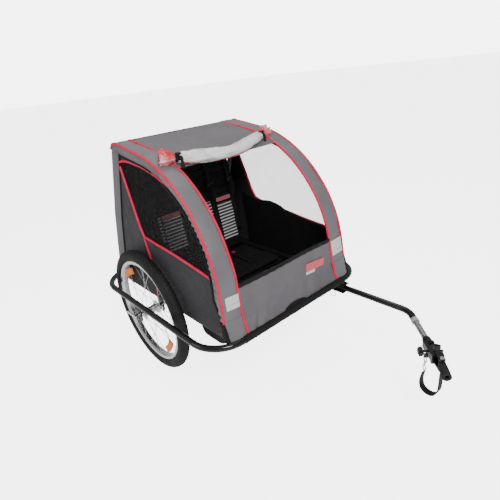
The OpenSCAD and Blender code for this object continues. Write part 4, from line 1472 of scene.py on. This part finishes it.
def seat_back():
    n, m = 110, 130
    rows = []
    for i in range(n):
        s = SEAT_LEN * i / (n - 1)
        rows.append([seat_at(s, -222 + 444 * j / m) for j in range(m + 1)])

    def ripple(i, j, p):
        s, y = SEAT_LEN * i, -222 + 444 * j
        near = min([abs(y - w) for w in SEAT_WEBS_Y] + [abs(s - w) for w in SEAT_WEBS_S]
                   + [s, SEAT_LEN - s, y + 222, 222 - y])
        puff = 5.0 * (1 - math.exp(-(near / 22) ** 1.6))
        return (puff - 6.0) * MM + wave(p, 3.0, 60, 61) * min(1, near / 15) + wave(p, 0.8, 20, 62)

    piece = shell("seat_back_fabric", rows, BLACK_CLOTH, thick=6, ripple=ripple, outward=(1, 0, 0))
    bend_seat(piece, "black_fabric", "seat_back")
    webs = []
    for w in SEAT_WEBS_Y:
        line = [seat_at(s, w + 1.5 * math.sin(s / 40), -1.0) for s in np.linspace(4, SEAT_LEN - 4, 60)]
        webs.append(ribbon("web", line, (0, 1, 0), 25, 2.2, WEBBING))
    for s in SEAT_WEBS_S:
        line = [seat_at(s + 1.2 * math.sin(y / 33), y, -1.4) for y in np.linspace(-221, 221, 60)]
        webs.append(ribbon("web", line, seat_at(10, 0) - seat_at(0, 0), 22, 2.0, WEBBING))
    bend_seat(joined("seat_webbing", webs), "black_webbing")
    hem = [at(-114, y, 808) for y in np.linspace(-196, 196, 90)]
    sleeve = tube("seat_top_sleeve", hem, 11.6, BLACK_CLOTH, sides=24)
    for v in sleeve.data.vertices:
        c = at(-114, 0, 808)
        out = Vector((v.co.x - c.x, 0, v.co.z - c.z))
        if out.length > 1e-6:
            v.co += out.normalized() * wave(v.co, 1.6, 22, 5)
    put(sleeve, "backrest", "black_fabric")


def seat_labels():
    """Plain striped patches where the seat back carries its printed panels."""
    def on(y, z, out):
        return seat_at((z - SEAT_FOOT[1]) / math.cos(SEAT_LEAN), y, out)

    def patch(name, y0, y1, z0, z1, mat, slot_name, out=2.4):
        rows = [[on(y0 + (y1 - y0) * j / 24, z0 + (z1 - z0) * i / 30, out) for j in range(25)]
                for i in range(31)]
        piece = shell(name, rows, mat, thick=1.2, ripple=lambda i, j, p: wave(p, 1.6, 50, 14),
                      outward=(1, 0, 0))
        bend_seat(piece, slot_name)

    for tag, spans, head in (("right", ((-182, -166, 470, 574), (-161, -74, 425, 558)), (-161, -74)),
                             ("left", ((38, 84, 470, 572), (115, 194, 385, 552)), (115, 194))):
        for k, (y0, y1, z0, z1) in enumerate(spans):
            patch("seat_patch_%s_%d" % (tag, k), y0, y1, z0, z1, PATCH, "grey_fabric")
        patch("seat_patch_head_" + tag, head[0], head[1], 560, 576, PATCH_HEAD, "coral_piping", 2.6)


def shoulder_straps():
    parts = []
    for k, y in enumerate(SHOULDER_Y):
        line = []
        for s in np.linspace(72, 438, 70):
            f = (s - 72) / 366
            out = 2.8 + 3.0 * math.sin(math.pi * f) ** 0.8 + 1.0 * math.sin(9 * f + k)
            line.append(seat_at(s, y + 4 * math.sin(3 * f + k), out))
        parts.append(ribbon("strap", line, (0, 1, 0), 24, 1.8, WEBBING))
        slider = seat_at(300, y + 4 * math.sin(3 * 228 / 366 + k), 7.5)
        parts.append(block("slider", slider, (6, 32, 20), PLASTIC, Matrix.Rotation(-SEAT_LEAN, 3, "Y"),
                           bevel=2))
        tail = smooth_line([seat_at(298, y + 2, 10), seat_at(262, y + 5, 12), seat_at(214, y - 3, 8)], 20)
        parts.append(ribbon("tail", tail, (0, 1, 0), 20, 1.6, WEBBING))
    bend_seat(joined("shoulder_harness", parts), "black_webbing", "shoulder_straps")


def seat_pad():
    """The seat cushion, blown up between its seams by a short cloth run."""
    x0, x1, y0, y1, z0, z1 = -30, 192, -218, 218, 316, 331.5
    nx, ny = 46, 88
    seams_x, seams_y = (81,), (-110, 0, 110)
    rows = []
    for i in range(nx + 1):
        rows.append([at(x0 + (x1 - x0) * i / nx, y0 + (y1 - y0) * j / ny, z1) for j in range(ny + 1)])
    pad = shell("seat_cushion", rows, BLACK_CLOTH, thick=z1 - z0, outward=(0, 0, 1))
    pins = pad.vertex_groups.new(name="pins")
    step = (x1 - x0) / nx
    for v in pad.data.vertices:
        x, y, z = v.co.x / MM - AXLE_X / MM, v.co.y / MM, v.co.z / MM
        seam = min([abs(x - s) for s in seams_x] + [abs(y - s) for s in seams_y])
        edge = min(x - x0, x1 - x, y - y0, y1 - y)
        if z < z1 - 1 or seam < step * 0.6 or edge < step * 0.5:
            pins.add([v.index], 1.0, "REPLACE")
    rest = [v.co.copy() for v in pad.data.vertices]
    mod = pad.modifiers.new("puff", "CLOTH")
    mod.settings.quality = 5
    mod.settings.mass = 0.15
    mod.settings.use_pressure = True
    mod.settings.uniform_pressure_force = 4
    mod.settings.tension_stiffness = mod.settings.compression_stiffness = 12
    mod.settings.vertex_group_mass = "pins"
    mod.settings.effector_weights.gravity = 0
    mod.point_cache.frame_start, mod.point_cache.frame_end = 1, 20
    for f in range(1, 21):
        scene.frame_set(f)
    done = pad.evaluated_get(bpy.context.evaluated_depsgraph_get())
    moved = [v.co.copy() for v in done.data.vertices]
    pad.modifiers.remove(mod)
    scene.frame_set(1)
    for v, r, q in zip(pad.data.vertices, rest, moved):
        x, y, z = r.x / MM - AXLE_X / MM, r.y / MM, r.z / MM
        way = q - r
        if way.length > 6 * MM:
            way = way.normalized() * 6 * MM
        if z > z1 - 1:
            seam = min([abs(x - s) for s in seams_x] + [abs(y - s) for s in seams_y])
            way.z -= 3.0 * MM * math.exp(-(seam / 7) ** 2)
            way.z += wave(r, 0.8, 35, 71)
        v.co = r + way
    sub = pad.modifiers.new("soft", "SUBSURF")
    sub.levels = sub.render_levels = 1
    put(pad, "frame", "black_fabric", "seat_base")


def lap_belts():
    parts = []
    for y in (-108, 108):
        line = smooth_line([at(12, y - 62, 333.5), at(13, y - 30, 338), at(12, y, 337), at(13, y + 30, 338),
                            at(12, y + 62, 333.5)], 60)
        parts.append(ribbon("lap", line, (1, 0, 0), 25, 1.8, WEBBING))
        crotch = smooth_line([at(24, y, 337.5), at(60, y + 2, 337), at(110, y - 2, 337),
                              at(152, y, 334.5)], 50)
        parts.append(ribbon("crotch", crotch, (0, 1, 0), 25, 1.8, WEBBING))
        parts.append(block("buckle", at(15, y, 341), (38, 34, 9), PLASTIC, bevel=3))
        parts.append(block("button", at(20, y, 346), (15, 13, 3), CORAL, bevel=1.2))
    put(joined("lap_harness", parts), "frame", "black_webbing", "lap_belts")


seat_back()
seat_labels()
shoulder_straps()
seat_pad()
lap_belts()


# ---------------------------------------------------------------- liners, floor and footwell
def side_liner(side, name):
    """Black lining of the lower side, with a loose wavy top edge."""
    n, m = 90, 30
    top = smooth_line([(-64, 572, 0), (-30, 556, 0), (41, 545, 0), (96, 549, 0), (152, 541, 0), (207, 520, 0),
                       (300, 503, 0), (388, 488, 0), (424, 466, 0)], n)
    rows = []
    for t in top:
        z1 = t[1] - (0 if side > 0 else 34)
        x = t[0]
        row = []
        for j in range(m + 1):
            z = 314 + (z1 - 314) * j / m
            row.append(wall(x + (4 * (1 - j / m) if x > 300 else 0), z, side, -10.5))
        rows.append(row)

    def ripple(i, j, p):
        long = Vector((p[0] * 1.2, p[1], p[2] * 0.6))
        return (wave(long, 3.2, 90, 81 + side) - 0.8 * MM) * (0.3 + 0.7 * math.sin(math.pi * min(1, j * 1.1)))

    piece = shell("side_liner_" + name, rows, BLACK_CLOTH, ripple=ripple, outward=(0, -side, 0))
    fold_side(piece, "side_liner_" + name, "black_fabric", rows=rows)
    rows = []
    for x in np.linspace(-262, 479, 120):
        a, b = wall(x, 320, side, -1.5), at(x, side * 256, BASE_H + 11.8)
        rows.append([a.lerp(b, j / 8) + Vector((0, 0, -3 * MM * math.sin(math.pi * j / 8)))
                     for j in range(9)])
    skirt = shell("side_skirt_" + name, rows, BLACK_CLOTH, ripple=lambda i, j, p: wave(p, 2.0, 50, 83),
                  outward=(0, 0, 1))
    put(skirt, "frame", "black_fabric")
    flat, area = cut_size(rows)


def floor_cloth():
    rows = []
    for x in np.linspace(-300, 226, 90):
        rows.append([at(x, y, BASE_H + 1.6) for y in np.linspace(-246, 246, 80)])
    piece = shell("floor_cloth", rows, BLACK_CLOTH, thick=4.4,
                  ripple=lambda i, j, p: wave(p, 1.2, 80, 91) - 0.4 * MM, outward=(0, 0, 1))
    front = []
    for x in np.linspace(457, 480, 10):
        front.append([at(x, y, BASE_H + 1.4) for y in np.linspace(-246, 246, 80)])
    lip = shell("lip", front, BLACK_CLOTH, thick=4.2, outward=(0, 0, 1))
    put(joined("floor_cloth", [piece, lip]), "frame", "black_fabric", "floor_panel")


def footwell():
    section = Path(rounded([(229, 304), (237, 208), (345, 207), (447, 272), (455, 304)], [30, 60, 14], 14))
    n, m = 110, 70
    rows = []
    for p in section.share(n):
        rows.append([at(p[0], -242 + 484 * j / m, p[1]) for j in range(m + 1)])

    def ripple(i, j, p):
        e = math.sin(math.pi * j) ** 0.3 * math.sin(math.pi * i) ** 0.4
        return wave(Vector((p[0], p[1] * 0.8, p[2])), 5.0, 90, 95) * e - 2.0 * MM * e

    parts = [shell("well", rows, BLACK_CLOTH, thick=2.4, ripple=ripple, outward=(0, 0, -1))]
    for side in (-1, 1):
        wall_rows = []
        for p in section.share(60):
            top_x = 229 + (455 - 229) * min(1, max(0, (p[0] - 232) / (452 - 232)))
            wall_rows.append([at(top_x + (p[0] - top_x) * j / 16, side * 241, 303 + (p[1] - 303) * j / 16)
                              for j in range(17)])
        parts.append(shell("well_side", wall_rows, BLACK_CLOTH, thick=2.4,
                           ripple=lambda i, j, p: (wave(p, 4.0, 70, 97) * math.sin(math.pi * j)
                                                   * math.sin(math.pi * i)),
                           outward=(0, side, 0)))
    put(joined("footwell_cloth", parts), "frame", "black_fabric", "footwell")


def corner_caps():
    """Black wrap that ties the foot of each side to the base loop's inner corner."""
    for side, name in ((1, "left"), (-1, "right")):
        rows = []
        for z in np.linspace(STRIP_FOOT - 6, 374, 36):
            f = (z - STRIP_FOOT + 6) / (380 - STRIP_FOOT)
            x = panel_line_x(z) - tube_bend(half_w(z)) * min(1.0, foot_out(z) / 22)
            front = at(x + 4, side * (half_w(z) - 5 + 4 * f), z)
            corner = at(x + 3, side * (half_w(z) + 4.5), z)
            back = at(x - 12 - 9 * math.sin(math.pi * f), side * (half_w(z) + 3.5), z)
            inside = at(x - 20 - 12 * math.sin(math.pi * f), side * (side_y(z) + 2), z)
            rows.append(smooth_line([front, corner, back, inside], 26))
        piece = shell("corner_cap_" + name, rows, BLACK_CLOTH, thick=2.2,
                      ripple=lambda i, j, p: wave(p, 3.0, 26, 101), outward=(1, side, 0))
        put(piece, "frame", "black_fabric")


for side_, name_ in ((1, "left"), (-1, "right")):
    side_liner(side_, name_)
floor_cloth()
footwell()
corner_caps()
